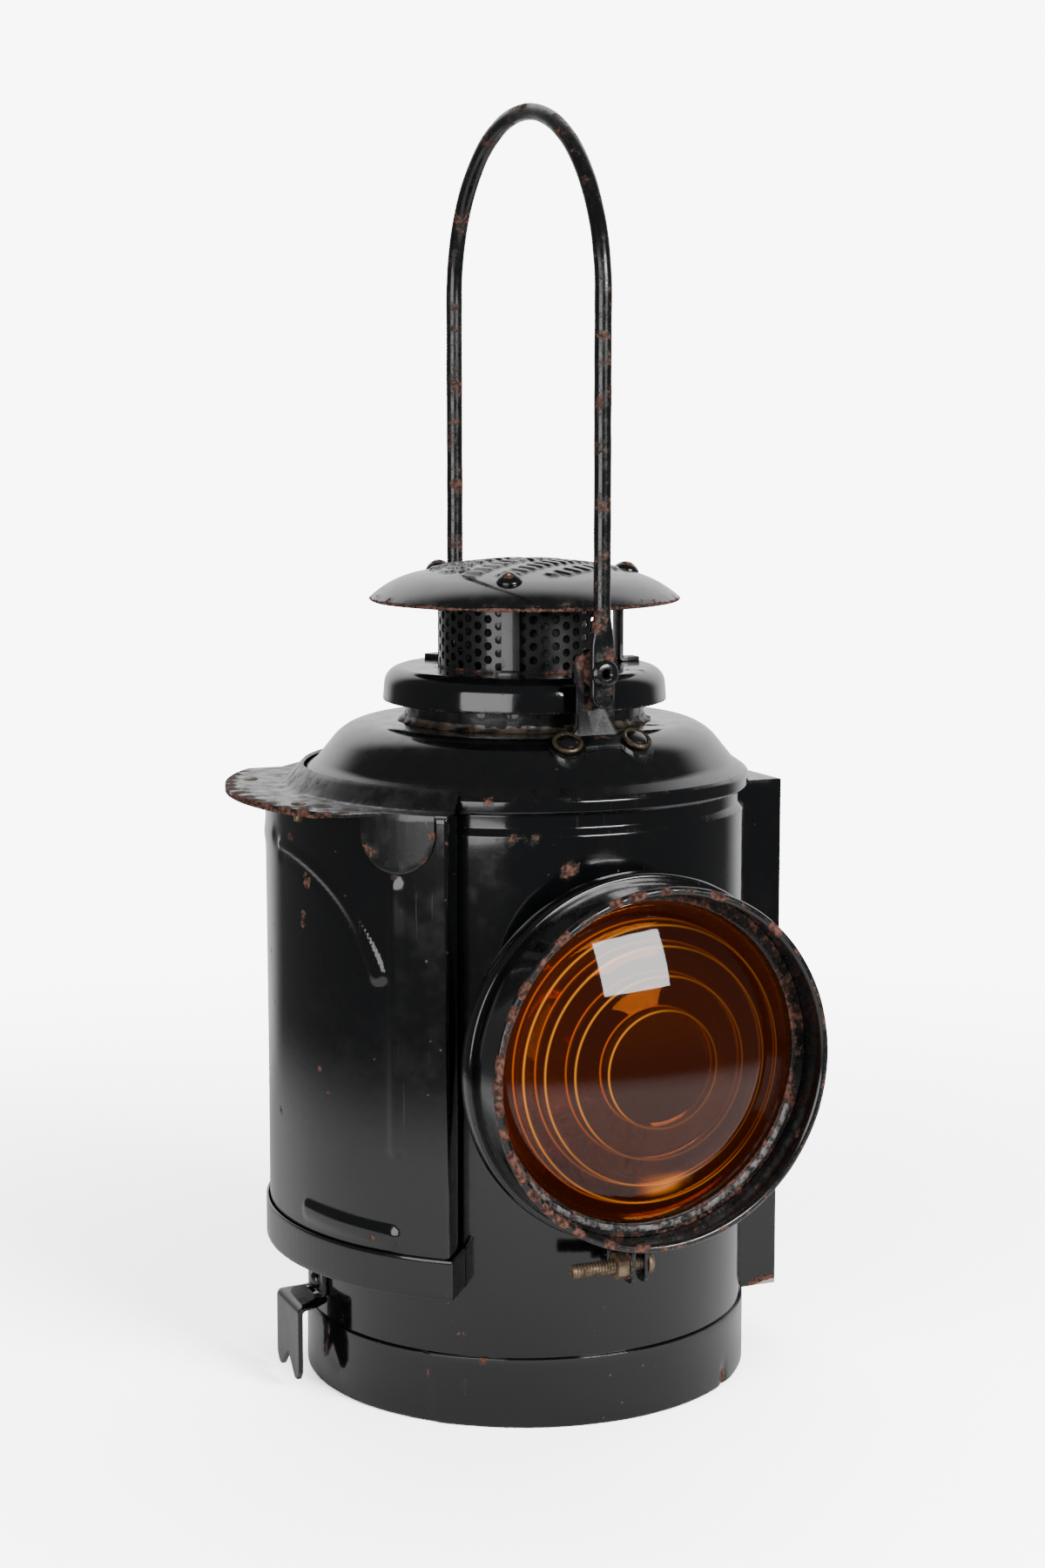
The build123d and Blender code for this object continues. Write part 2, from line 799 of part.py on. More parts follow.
def lens_socket():
    """The tube soldered to the case, dished out in front to hold the gasket and the lens."""
    dish = lens_socket_y - pressed_sheet
    points = [
        (lens_hole_r, 0),
        (lens_hole_r + lens_tube, 0),
        (lens_hole_r + lens_tube, dish),
        (lens_socket_r, dish),
        (lens_socket_r, lens_front_y - seat_gap),
        (lens_socket_r - pressed_sheet, lens_front_y - seat_gap),
        (lens_socket_r - pressed_sheet, lens_socket_y),
        (lens_hole_r, lens_socket_y),
    ]
    return lens_turned(points) - disc(case_r + seat_gap, 0, 2 * lens_z)


def lens_gasket():
    """The felt ring behind the lens."""
    points = [(gasket_inner_r, lens_socket_y), (lens_flange_r, lens_socket_y)]
    points += [(lens_flange_r, lens_back_y), (gasket_inner_r, lens_back_y)]
    return lens_turned(points)


def lens_surface(radius):
    """How far forward the lens's outer face is at a radius."""
    ball = (lens_visible_r**2 + lens_bulge**2) / (2 * lens_bulge)
    return lens_front_y + lens_bulge - ball + sqrt(ball**2 - radius**2)


def lens():
    """The signal lens: smooth and domed outside, stepped in rings inside."""
    ball = (lens_visible_r**2 + lens_bulge**2) / (2 * lens_bulge)
    half = asin(lens_visible_r / ball) / 2
    middle = (ball * sin(half), lens_front_y + lens_bulge - ball + ball * cos(half))
    front = ThreePointArc((0, lens_front_y + lens_bulge), middle, (lens_visible_r, lens_front_y))
    points = [(lens_visible_r, lens_front_y), (lens_flange_r, lens_front_y), (lens_flange_r, lens_back_y)]
    points.append((ring_radii[-1], lens_back_y))
    for outer in reversed(ring_radii):
        depth = lens_surface(outer) - lens_wall
        points.append((outer, depth + ring_step if outer < ring_radii[-1] else depth))
        if outer < ring_radii[-1]:
            points.append((outer, depth))
    points.append((0, lens_surface(0) - lens_wall - 1))
    points.append((0, lens_front_y + lens_bulge))
    outline = Curve() + front + Polyline(*points)
    face = make_face((Plane.XZ * outline).edges())
    return Pos(0, 0, lens_z) * Rot(90, 0, 0) * revolve(face, axis=Axis.Z)


def lens_ring():
    """The thin ring that holds the lens in from the front."""
    outer = hood_inner_r - seat_gap
    points = [(lens_visible_r, lens_front_y), (outer, lens_front_y)]
    points += [(outer, lens_front_y + pressed_sheet), (lens_visible_r, lens_front_y + pressed_sheet)]
    return lens_turned(points)


def lens_hood():
    """The hood round the lens, with a wired front edge."""
    outer = hood_inner_r + hood_sheet
    barrel = lens_turned(
        [(hood_inner_r, hood_back_y), (outer, hood_back_y), (outer, hood_rim_y), (hood_inner_r, hood_rim_y)]
    )
    wire = Pos(0, -hood_rim_y, lens_z) * Rot(90, 0, 0) * Torus(outer - hood_sheet / 2, hood_wire_r)
    return barrel + wire


def hood_clamp():
    """The split band that grips the hood on its socket, with two lugs at the bottom."""
    inner = hood_inner_r + hood_sheet + seat_gap
    outer = inner + clamp_thick
    band = lens_turned(
        [(inner, clamp_back_y), (outer, clamp_back_y), (outer, clamp_front_y), (inner, clamp_front_y)]
    )
    band -= slab(-lug_gap / 2, lug_gap / 2, -clamp_front_y - 1, -clamp_back_y + 1, 0, lens_z)
    root = lens_z - outer + clamp_thick / 2
    for side in (-1, 1):
        near = side * lug_gap / 2
        far = side * (lug_gap / 2 + lug_thick)
        lug = slab(min(near, far), max(near, far), -clamp_front_y, -clamp_back_y, lug_bottom_z, root)
        band += lug - Pos(0, -clamp_back_y + 1, lens_z) * Rot(90, 0, 0) * disc(inner, -5, 20)
    return band - bolt_rod(bolt_r + seat_gap, -50, 50)


def bolt_rod(radius, x0, x1):
    """A rod on the clamp bolt's axis."""
    y = -(clamp_back_y + clamp_front_y) / 2
    return Pos(x0, y, bolt_z) * Rot(0, 90, 0) * disc(radius, 0, x1 - x0)


lug_face = lug_gap / 2 + lug_thick


def clamp_bolt():
    """The clamp bolt: round head on the socket side, long thread towards the door."""
    return bolt_rod(bolt_r, -bolt_reach, lug_face) + bolt_rod(bolt_head_r, lug_face, lug_face + bolt_head)


def clamp_washer_ring():
    """Washer under the clamp nut."""
    face = -lug_face
    return bolt_rod(bolt_r * 2, face - clamp_washer, face) - bolt_rod(bolt_r + seat_gap, -50, 50)


def clamp_nut():
    """Hexagon nut on the clamp bolt."""
    face = -lug_face - clamp_washer
    y = -(clamp_back_y + clamp_front_y) / 2
    flats = extrude(RegularPolygon(nut_flats / sqrt(3), 6), nut_thick)
    nut = Pos(face - nut_thick, y, bolt_z) * Rot(0, 90, 0) * flats
    return nut - bolt_rod(bolt_r + 0.01, -50, 50)


# ---- bracket socket and locating hook ----

def bracket_socket():
    """The square pocket that drops over a signal post's lamp bracket: open below, closed on top."""
    half = socket_width / 2
    inner_half = half - socket_wall
    inner_x = socket_out_x - socket_wall
    pocket = slab(0, socket_out_x, -half, half, socket_bottom_z, socket_top_z)
    pocket -= slab(0, inner_x, -inner_half, inner_half, 0, socket_top_z - socket_wall)
    pocket -= disc(case_r + seat_gap, 0, 2 * socket_top_z)
    return pocket - disc(case_r + band_sheet + seat_gap, 0, band_height + seat_gap)


def locating_hook():
    """The notched hook under the door: a riveted tab, a shelf and a hanging forked plate."""
    inner = case_r + seat_gap
    line = FilletPolyline(
        (inner, hook_tab_top_z), (inner, hook_bend_z + 2), (hook_reach, hook_bend_z), (hook_reach, hook_tip_z),
        radius=[hook_plate, hook_plate],
    )
    outline = offset(Plane.XZ * line, hook_plate, side=Side.RIGHT, closed=True)
    strip = extrude(make_face(outline.edges()), hook_width / 2, both=True)
    wide = hook_width / 2
    tab = hook_tab_width / 2
    tip = hook_tip_width / 2
    front = make_face(
        Polyline(
            (-tab, hook_tab_top_z + 1),
            (tab, hook_tab_top_z + 1),
            (tab, hook_bend_z + hook_corner),
            (wide, hook_bend_z + 1),
            (wide, hook_tip_z + hook_corner),
            (tip, hook_tip_z),
            (tip - hook_tine, hook_tip_z),
            (0, hook_notch_z),
            (hook_tine - tip, hook_tip_z),
            (-tip, hook_tip_z),
            (-wide, hook_tip_z + hook_corner),
            (-wide, hook_bend_z + 1),
            (-tab, hook_bend_z + hook_corner),
            close=True,
        )
    )
    hook = strip & extrude(Plane.YZ * front, 2 * case_r)
    window_top = hook_window_z + hook_window_high
    corners = [(-hook_window_half, window_top), (hook_window_half, window_top), (0, hook_window_z)]
    window = make_face(Polyline(*corners, close=True))
    hook -= extrude(Plane.YZ * window, case_r + 2 * hook_plate)
    return turned(hook, hook_bearing) - hook_rivet_bore()


def hook_rivet():
    """The round-headed rivet through the hook's tab."""
    seat = case_r + seat_gap + hook_plate
    shape = rivet(hook_rivet_head_r, hook_rivet_head, rivet_shank_r, hook_plate + 2 * case_sheet)
    return turned(Pos(seat, 0, hook_rivet_z) * Rot(0, 90, 0) * shape, hook_bearing)


# ---- fount and burner ----

fount_low = floor_z + fount_clear
fount_top = fount_low + fount_height
burner_z = fount_top + burner_collar
tube_top_z = burner_z + wick_tube_top
spindle_z = burner_z + spindle_rise
wick_half = wick_width / 2
wick_slot = wick_thick / 2 + wick_fit
spindle_y = -(wick_thick / 2 + wheel_r)


def fount_tank():
    """The oil tank, hollow, with a filler neck and a screwed seat for the burner."""
    inner = fount_r - fount_wall
    tank = disc(fount_r, fount_low, fount_top) - disc(inner, fount_low + fount_wall, fount_top - fount_wall)
    tank += disc(filler_neck_r, fount_top - fount_wall, fount_top + filler_cap_height - 1.5, y=filler_y)
    tank -= disc(filler_neck_r - fount_wall, fount_top - 5, fount_top + 20, y=filler_y)
    return tank - disc(burner_r - 3, fount_top - 5, fount_top + 5)


def filler_cap():
    """The screw cap on the filler neck."""
    low = fount_top + slide_gap
    high = fount_top + filler_cap_height
    cap = disc(filler_cap_r, low, high, y=filler_y)
    cap -= disc(filler_neck_r + slide_gap, low - 1, high - 1.0, y=filler_y)
    for i in range(filler_grips):
        angle = radians(i * 360 / filler_grips)
        x = filler_cap_r * cos(angle)
        y = filler_y + filler_cap_r * sin(angle)
        cap -= disc(filler_groove_r, low - 1, high + 1, x=x, y=y)
    return cap



def burner_collar_ring():
    """The brass collar that screws the burner to the fount."""
    ring = disc(burner_r, fount_top, burner_z)
    return ring - disc(burner_r - 3, fount_top - 1, burner_z + 1)


def wick_space(grow=0.0):
    """The slot that the flat wick runs in."""
    half = wick_half + wick_fit + grow
    deep = wick_slot + grow
    return slab(-half, half, -deep, deep, fount_top - 5, tube_top_z + 1)


def burner_body():
    """The burner: base with air holes, wick tube and the gallery the glass stands in."""
    top = burner_z + burner_base
    inner = burner_r - burner_skin
    body = disc(burner_r, burner_z, top) - disc(inner, burner_z + burner_skin, top - burner_skin)
    body += tube(gallery_r, inner, top - burner_skin, top)
    body += tube(gallery_r, gallery_r - case_sheet, top - burner_skin, top + gallery_rise)
    body += wick_space(wick_tube_wall) & slab(-burner_r, burner_r, -burner_r, burner_r, burner_z, tube_top_z)
    body -= wick_space()
    wheel_room = disc(wheel_r + slide_gap, -wheel_wall, wheel_wall)
    body -= across(wheel_room) & slab(-burner_r, burner_r, -burner_r, 0, burner_z, tube_top_z)
    body -= across(disc(spindle_r + pin_gap, -2 * burner_r, 0))
    hole = Pos(burner_r, 0, burner_z + burner_base / 2) * Sphere(burner_hole_r)
    step = 360 / burner_holes
    for i in range(burner_holes):
        body -= Rot(0, 0, (i + 0.5) * step) * hole
    return body


def across(shape):
    """Lay a shape standing on Z along the wick spindle, +X."""
    return Pos(0, spindle_y, spindle_z) * Rot(0, 90, 0) * shape


def burner_cone():
    """The slotted cone over the wick that shapes the flame."""
    low = burner_z + burner_base + seat_gap
    line = FilletPolyline(
        (gallery_r - 5.0, low), (gallery_r - 5.5, low + cone_height - 3), (3.0, low + cone_height), radius=[5]
    )
    cone = spun_sheet(line, 0.6, Side.RIGHT)
    return cone - slab(-wick_half - 2.0, wick_half + 2.0, -cone_slot / 2, cone_slot / 2, low + 3, low + 30)


def wick():
    """The flat wick, from the oil up to the flame."""
    low = fount_top - wick_tail
    return slab(-wick_half, wick_half, -wick_thick / 2, wick_thick / 2, low, tube_top_z + wick_show)


def wick_winder():
    """Spiked wheel, spindle and milled knob that raise the wick."""
    end = wheel_wall - slide_gap
    knob = disc(knob_r, -knob_x - knob_thick, -knob_x)
    groove = disc(knob_groove_r, -knob_x - 2 * knob_thick, 0, x=knob_r)
    for i in range(knob_grips):
        knob -= Rot(0, 0, i * 360 / knob_grips) * groove
    return across(disc(spindle_r, -knob_x, end) + disc(wheel_r - wick_fit, -end, end) + knob)


def glass_chimney():
    """The lamp glass: straight foot, bulge round the flame and a narrower top."""
    low = burner_z + burner_base + seat_gap
    line = FilletPolyline(
        (chimney_glass_r, low),
        (chimney_glass_r, low + 8),
        (chimney_glass_bulge, low + 24),
        (chimney_glass_top, low + 56),
        (chimney_glass_top, low + chimney_glass_height),
        radius=[12, 22, 40],
    )
    return spun_sheet(line, chimney_glass_wall, Side.RIGHT)


def mirrored(shape):
    """The rear twin of a front piece."""
    return mirror(shape, about=Plane.XZ)


def main():
    save(body_shell(), "body_shell")
    save(base_band(), "base_band")
    save(floor_pan(), "floor_pan")
    save(dome_top(), "dome_top")
    save(neck_collar(), "neck_collar")
    save(draught_ring(), "draught_ring")
    save(chimney_screen(), "chimney_screen")
    save(chimney_cap(), "chimney_cap")
    rivets = []
    for i in range(strap_count):
        bearing = strap_bearing + i * 360 / strap_count
        save(turned(chimney_strap(), bearing), f"chimney_strap_{i + 1}")
        rivets.append(turned(cap_rivet(), bearing))
    save(Compound(children=rivets), "cap_rivets")

    front = handle_bracket()
    save(front, "handle_bracket_front")
    save(mirrored(front), "handle_bracket_rear")
    heads = [bracket_rivet(x) for x in (-foot_rivet_x, foot_rivet_x)]
    heads += [mirrored(head) for head in heads]
    save(Compound(children=heads), "bracket_rivets")
    save(pivot_rivet(), "pivot_rivet_front")
    save(mirrored(pivot_rivet()), "pivot_rivet_rear")
    save(Compound(children=[pivot_washer(), mirrored(pivot_washer())]), "pivot_washers")
    save(bail(), "bail")

    save(turned(door_panel(), door_bearing), "door_panel")
    save(turned(door_hood(), door_bearing), "door_hood")
    save(turned(brim_stiffener(), door_bearing), "brim_stiffener")
    save(Compound(children=[turned(brim_rivet(side), door_bearing) for side in (-1, 1)]), "brim_rivets")
    save(turned(door_sill(), door_bearing), "door_sill")
    save(turned(door_guide(1), door_bearing), "door_guide_front")
    save(turned(door_guide(-1), door_bearing), "door_guide_rear")

    save(lens_socket(), "lens_socket")
    save(lens_gasket(), "lens_gasket")
    save(lens(), "lens")
    save(lens_ring(), "lens_ring")
    save(lens_hood(), "lens_hood")
    save(hood_clamp(), "hood_clamp")
    save(clamp_bolt(), "clamp_bolt")
    save(clamp_washer_ring(), "clamp_washer")
    save(clamp_nut(), "clamp_nut")

    save(bracket_socket(), "bracket_socket")
    save(locating_hook(), "locating_hook")
    save(hook_rivet(), "hook_rivet")

    save(fount_tank(), "fount_tank")
    save(filler_cap(), "filler_cap")
    save(burner_collar_ring(), "burner_collar")
    save(burner_body(), "burner_body")
    save(burner_cone(), "burner_cone")
    save(wick(), "wick")
    save(wick_winder(), "wick_winder")
    save(glass_chimney(), "glass_chimney")


main()
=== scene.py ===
# %% [markdown]
# # A railway signal oil lamp
# The lamp is thin steel sheet, rolled, pressed and soldered, then dipped in gloss black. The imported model
# holds every piece at its right size and place. This script only gives the pieces their looks: it loads
# that model, keeps its box, and then builds finer skins over the plain solids. Lengths in the shape code
# are in millimetres, because that is how the lamp was made, and `MM` turns them into Blender's metres.

# %% Load the frame
import cmath
import json
import math
from contextlib import contextmanager

import bmesh
import bpy
import numpy as np
from mathutils import Matrix, Vector, noise

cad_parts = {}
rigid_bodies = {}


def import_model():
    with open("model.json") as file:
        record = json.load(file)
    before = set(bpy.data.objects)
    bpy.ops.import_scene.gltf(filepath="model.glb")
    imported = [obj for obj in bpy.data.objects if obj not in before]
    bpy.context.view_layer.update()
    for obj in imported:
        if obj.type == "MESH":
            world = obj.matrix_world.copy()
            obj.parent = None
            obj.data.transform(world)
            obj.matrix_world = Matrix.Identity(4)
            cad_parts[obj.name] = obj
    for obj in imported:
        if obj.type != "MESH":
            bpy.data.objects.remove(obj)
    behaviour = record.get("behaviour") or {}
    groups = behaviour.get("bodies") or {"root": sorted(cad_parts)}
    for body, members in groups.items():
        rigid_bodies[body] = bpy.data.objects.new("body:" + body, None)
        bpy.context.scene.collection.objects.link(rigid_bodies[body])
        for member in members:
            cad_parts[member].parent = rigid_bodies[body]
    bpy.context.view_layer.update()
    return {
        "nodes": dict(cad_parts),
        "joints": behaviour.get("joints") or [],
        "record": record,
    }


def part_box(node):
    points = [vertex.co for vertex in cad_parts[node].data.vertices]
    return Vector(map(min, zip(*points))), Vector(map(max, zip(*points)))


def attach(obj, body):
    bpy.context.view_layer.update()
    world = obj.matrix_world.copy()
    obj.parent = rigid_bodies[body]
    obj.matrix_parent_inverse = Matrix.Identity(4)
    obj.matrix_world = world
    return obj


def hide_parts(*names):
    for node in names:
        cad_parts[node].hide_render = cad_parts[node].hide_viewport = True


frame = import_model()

MM = 0.001

# %% [markdown]
# ## Reading sizes off the frame
# A node's box gives its lowest and highest corner, and most of the lamp's sizes follow from those. The lens
# looks along -Y, the door is on -X and the bracket pocket on +X, so each pressing's outer size can be read
# on a side where nothing is cut out of it.

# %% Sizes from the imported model, in millimetres
def span(node):
    """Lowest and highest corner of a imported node, in millimetres."""
    low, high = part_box(node)
    return low / MM, high / MM


case_high = span("body_shell")[1]
band_high = span("base_band")[1]
dome_low, dome_high = span("dome_top")
ring_low, ring_high = span("draught_ring")
cap_low, cap_high = span("chimney_cap")
screen_low, screen_high = span("chimney_screen")
hood_low, hood_high = span("lens_hood")
lens_low, lens_high = span("lens")
door_low, door_high = span("door_panel")
bail_low, bail_high = span("bail")

case_r = case_high.x
band_r = band_high.x
bead_r = dome_high.x
lens_z = (lens_low.z + lens_high.z) / 2
joints = {joint["name"]: joint for joint in frame["joints"]}
pivot_z = joints["handle_swing"]["pos_m"][2] / MM
door_bearing = -94.0
print("case", round(case_r, 2), "band", round(band_r, 2), "bead", round(bead_r, 2), "lens", round(lens_z, 2))

# %% [markdown]
# ## The camera
# It stands a metre away, a little above the lamp's middle and to the left of the lens, and looks slightly
# down. A long lens keeps the case's sides almost upright.

# %% Camera
def put_in_scene(name, data):
    """A new object in the scene, at the origin."""
    made = bpy.data.objects.new(name, data)
    bpy.context.scene.collection.objects.link(made)
    return made


camera = put_in_scene("camera", bpy.data.cameras.new("camera"))
camera.location = (-0.4097, -0.9012, 0.3466)
camera.rotation_euler = (math.radians(81.665), 0, math.radians(-24.45))
camera.data.lens = 67.2
camera.data.shift_x = -0.0014
bpy.context.scene.camera = camera
print("camera", [round(x, 3) for x in camera.location])

# %% [markdown]
# ## Outlines
# Nearly every piece of this lamp was spun, rolled or pressed round an axis, so each is a short outline of
# (radius, height) that is turned round. An outline is kept as complex numbers, because then a corner's arc
# is a rotation, which is one multiplication. A sheet's outline is its outer line, the same line one
# thickness in, and an eased edge at each end: real sheet has no razor corners, and the eased edge is what
# catches the light.

# %% Outline helpers
def fan(start, end, steps):
    """Evenly spaced values, most often angles, from start to end, both included."""
    return [start + (end - start) * k / steps for k in range(steps + 1)]


def rounded(corners, steps=7):
    """An open line through corners of (x, y) or (x, y, radius), as complex numbers."""
    points = [complex(c[0], c[1]) for c in corners]
    out = [points[0]]
    for i in range(1, len(corners) - 1):
        radius = corners[i][2] if len(corners[i]) > 2 else 0
        here = points[i]
        back = points[i - 1] - here
        ahead = points[i + 1] - here
        half = abs(cmath.phase(ahead / back)) / 2
        if radius == 0 or half > 1.55:
            out.append(here)
            continue
        reach = min(radius / math.tan(half), 0.49 * abs(back), 0.49 * abs(ahead))
        radius = reach * math.tan(half)
        start = here + back / abs(back) * reach
        end = here + ahead / abs(ahead) * reach
        middle = back / abs(back) + ahead / abs(ahead)
        centre = here + middle / abs(middle) * radius / math.sin(half)
        turn = cmath.phase((end - centre) / (start - centre))
        out += [centre + (start - centre) * cmath.exp(1j * turn * k / steps) for k in range(steps + 1)]
    return out + [points[-1]]


def normals(line):
    """Unit vectors to the left of an open line, one for each of its points."""
    out = []
    for i, here in enumerate(line):
        before = here - line[max(i - 1, 0)]
        after = line[min(i + 1, len(line) - 1)] - here
        total = sum(v / abs(v) for v in (before, after) if abs(v) > 1e-9)
        out.append(1j * total / abs(total))
    return out


def sheet_outline(line, thick, ease=0.3):
    """Close an open line into a sheet's outline: thick to its left, or right if negative, with eased ends."""
    side = normals(line)
    ease = min(ease, abs(thick) * 0.45)
    toward = [(line[1] - line[0]) / abs(line[1] - line[0]), (line[-2] - line[-1]) / abs(line[-2] - line[-1])]
    sign = 1 if thick > 0 else -1

    def end(point, across, inward):
        """The rounded cap of one end, from the outer face round to the inner one."""
        bends = [(inward * ease * (1 - math.sin(a)), across * ease * (1 - math.cos(a)) * sign)
                 for a in fan(0, math.pi / 2, 3)]
        far = point + across * thick
        near = [point + back + down for back, down in bends]
        return near + [far + back - down for back, down in reversed(bends)]

    outer = line[1:-1]
    inner = [p + n * thick for p, n in zip(line[1:-1], side[1:-1])]
    return outer + end(line[-1], side[-1], toward[1]) + inner[::-1] + end(line[0], side[0], toward[0])[::-1]


def dense(outline, longest):
    """The same closed outline with no run longer than a length, so that its surface can be worked."""
    out = []
    for here, there in zip(outline, outline[1:] + outline[:1]):
        count = max(1, math.ceil(abs(there - here) / longest))
        out += [here + (there - here) * k / count for k in range(count)]
    return out


# %% Turning an outline into a mesh
SHARP = math.radians(38)


@contextmanager
def worked(mesh):
    """A mesh opened for bmesh operations, and written back at the end."""
    work = bmesh.new()
    work.from_mesh(mesh)
    yield work
    work.to_mesh(mesh)
    work.free()


def shaded(piece):
    """Smooth shading that stays crisp over sharp edges."""
    piece.data.shade_smooth()
    piece.data.set_sharp_from_angle(angle=SHARP)
    return piece


def tidy(piece):
    """Merge doubles, drop flat faces, point the faces outwards and set the shading."""
    with worked(piece.data) as work:
        bmesh.ops.remove_doubles(work, verts=work.verts, dist=2e-6)
        bmesh.ops.dissolve_degenerate(work, edges=work.edges, dist=1e-6)
        bmesh.ops.recalc_face_normals(work, faces=work.faces)
    return shaded(piece)


def piece_from(name, points, faces):
    """A new mesh piece from points in millimetres."""
    mesh = bpy.data.meshes.new(name)
    mesh.from_pydata([tuple(c * MM for c in p) for p in points], [], faces)
    return tidy(put_in_scene(name, mesh))


def lathe(name, outline, turns=216, start=0.0, arc=360.0):
    """Turn a closed outline of (radius, height) round the Z axis. Part turns get flat ends."""
    whole = arc >= 360
    rows = turns if whole else turns + 1
    count = len(outline)
    points = []
    for i in range(rows):
        angle = math.radians(start + arc * i / turns)
        points += [(p.real * math.cos(angle), p.real * math.sin(angle), p.imag) for p in outline]
    faces = []
    for i in range(turns):
        a = i * count
        b = (i + 1) % rows * count
        faces += [(a + j, b + j, b + (j + 1) % count, a + (j + 1) % count) for j in range(count)]
    if not whole:
        faces += [tuple(range(count)), tuple(turns * count + j for j in reversed(range(count)))]
    return piece_from(name, points, faces)


def turned(piece, angle, axis, at=(0, 0, 0)):
    """Turn a piece about an axis through the origin, then move it to a place in millimetres."""
    piece.data.transform(Matrix.Translation([c * MM for c in at]) @ Matrix.Rotation(angle, 4, axis))
    return piece


def face_forward(piece):
    """Swing a piece turned round Z so that it lies round the lens axis and faces -Y."""
    return turned(piece, math.pi / 2, "X", (0, 0, lens_z))


def swing(piece, bearing):
    """Turn a piece modelled on +X round the case. A bearing is counted from the lens towards the pocket."""
    return turned(piece, math.radians(bearing - 90), "Z")


def on_case(bearing, radius, height):
    """The point, in millimetres, at a bearing, a radius and a height."""
    angle = math.radians(bearing - 90)
    return Vector((radius * math.cos(angle), radius * math.sin(angle), height))


# %% [markdown]
# ## Hand-worked surfaces
# Gloss black shows a surface only by its reflections, and a reflection is dead straight on perfect geometry.
# On a beaten and soldered lamp it wanders. `settle` moves the mesh itself by a fraction of a millimetre of
# smooth noise, which is enough. `wear` marks where paint has gone: it writes one number per vertex, high near
# the rings and spots it is given, and the paint's material turns that number into chips and rust. `marks`,
# `dots` and `scratch` are three ways to list spots: round the case, in space, and along a line.

# %% Wobble and wear
def points_of(piece):
    """A piece's points, as the rows of an array in metres."""
    co = np.empty(len(piece.data.vertices) * 3, np.float32)
    piece.data.vertices.foreach_get("co", co)
    return co.reshape(-1, 3)


def moved_to(piece, co):
    """The piece with its points moved to the rows of an array."""
    piece.data.vertices.foreach_set("co", co.ravel())
    piece.data.update()
    return piece


def settle(piece, amount, size, seed=0.0):
    """Move each point along its normal by smooth noise: amount and size are in millimetres."""
    co = points_of(piece)
    side = np.empty(co.size, np.float32)
    piece.data.vertex_normals.foreach_get("vector", side)
    shift = Vector((seed, seed * 0.7, -seed))
    push = np.array([noise.noise(Vector(p) / (size * MM) + shift) for p in co])
    co += side.reshape(-1, 3) * (push * amount * MM)[:, None]
    return moved_to(piece, co)


def wear(piece, rings=(), spots=(), about="case", base=0.0):
    """Write worn from rings of (radius, along, width, strength) and spots of (point, width, strength)."""
    co = points_of(piece) / MM
    if about == "case":
        radius, along = np.hypot(co[:, 0], co[:, 1]), co[:, 2]
    else:
        radius, along = np.hypot(co[:, 0], co[:, 2] - lens_z), -co[:, 1]
    worn = np.full(len(co), float(base))
    for r, a, width, strength in rings:
        worn = np.maximum(worn, strength * np.exp(-((radius - r) ** 2 + (along - a) ** 2) / width**2))
    for point, width, strength in spots:
        worn = np.maximum(worn, strength * np.exp(-((co - np.array(point)) ** 2).sum(1) / width**2))
    found = piece.data.attributes.get("worn") or piece.data.attributes.new("worn", "FLOAT", "POINT")
    found.data.foreach_set("value", worn.astype(np.float32))
    return piece


def marks(radius, *places):
    """Spots round the case at one radius, each given as (bearing, height, width, strength)."""
    return [(on_case(bearing, radius, height), *rest) for bearing, height, *rest in places]


def dots(*places):
    """Spots given as (x, y, z, width, strength)."""
    return [(Vector(place[:3]), *place[3:]) for place in places]


def scratch(start, end, radius, width, strength, count=24):
    """Spots along a line from one (bearing, height) to another, for a scratch, a seam or a run of solder."""
    bearings = fan(start[0], end[0], count)
    heights = fan(start[1], end[1], count)
    return marks(radius, *((b, z, width, strength) for b, z in zip(bearings, heights)))


# %% [markdown]
# ## Writing node trees as expressions
# A material's maths reads best as a formula. `Tap` wraps a socket that gives a number, and its operators
# add the Math nodes, so `1 - mask * 0.5` is two nodes. Everything else comes from one method, `node`, which
# takes a type, its settings and the values or links of its sockets. Geometry Nodes trees use the same Math
# nodes, so both kinds of tree share the class.

# %% Nodes from Python
class Tap:
    """A socket that gives a number, for use in an expression."""

    def __init__(self, wiring, socket):
        self.wiring = wiring
        self.socket = socket

    def __add__(self, other):
        return self.wiring.math("ADD", self, other)

    def __sub__(self, other):
        return self.wiring.math("SUBTRACT", self, other)

    def __rsub__(self, other):
        return self.wiring.math("SUBTRACT", other, self)

    def __mul__(self, other):
        return self.wiring.math("MULTIPLY", self, other)

    def __truediv__(self, other):
        return self.wiring.math("DIVIDE", self, other)

    def __pow__(self, other):
        return self.wiring.math("POWER", self, other)

    def __neg__(self):
        return self.wiring.math("MULTIPLY", self, -1)

    __radd__ = __add__
    __rmul__ = __mul__


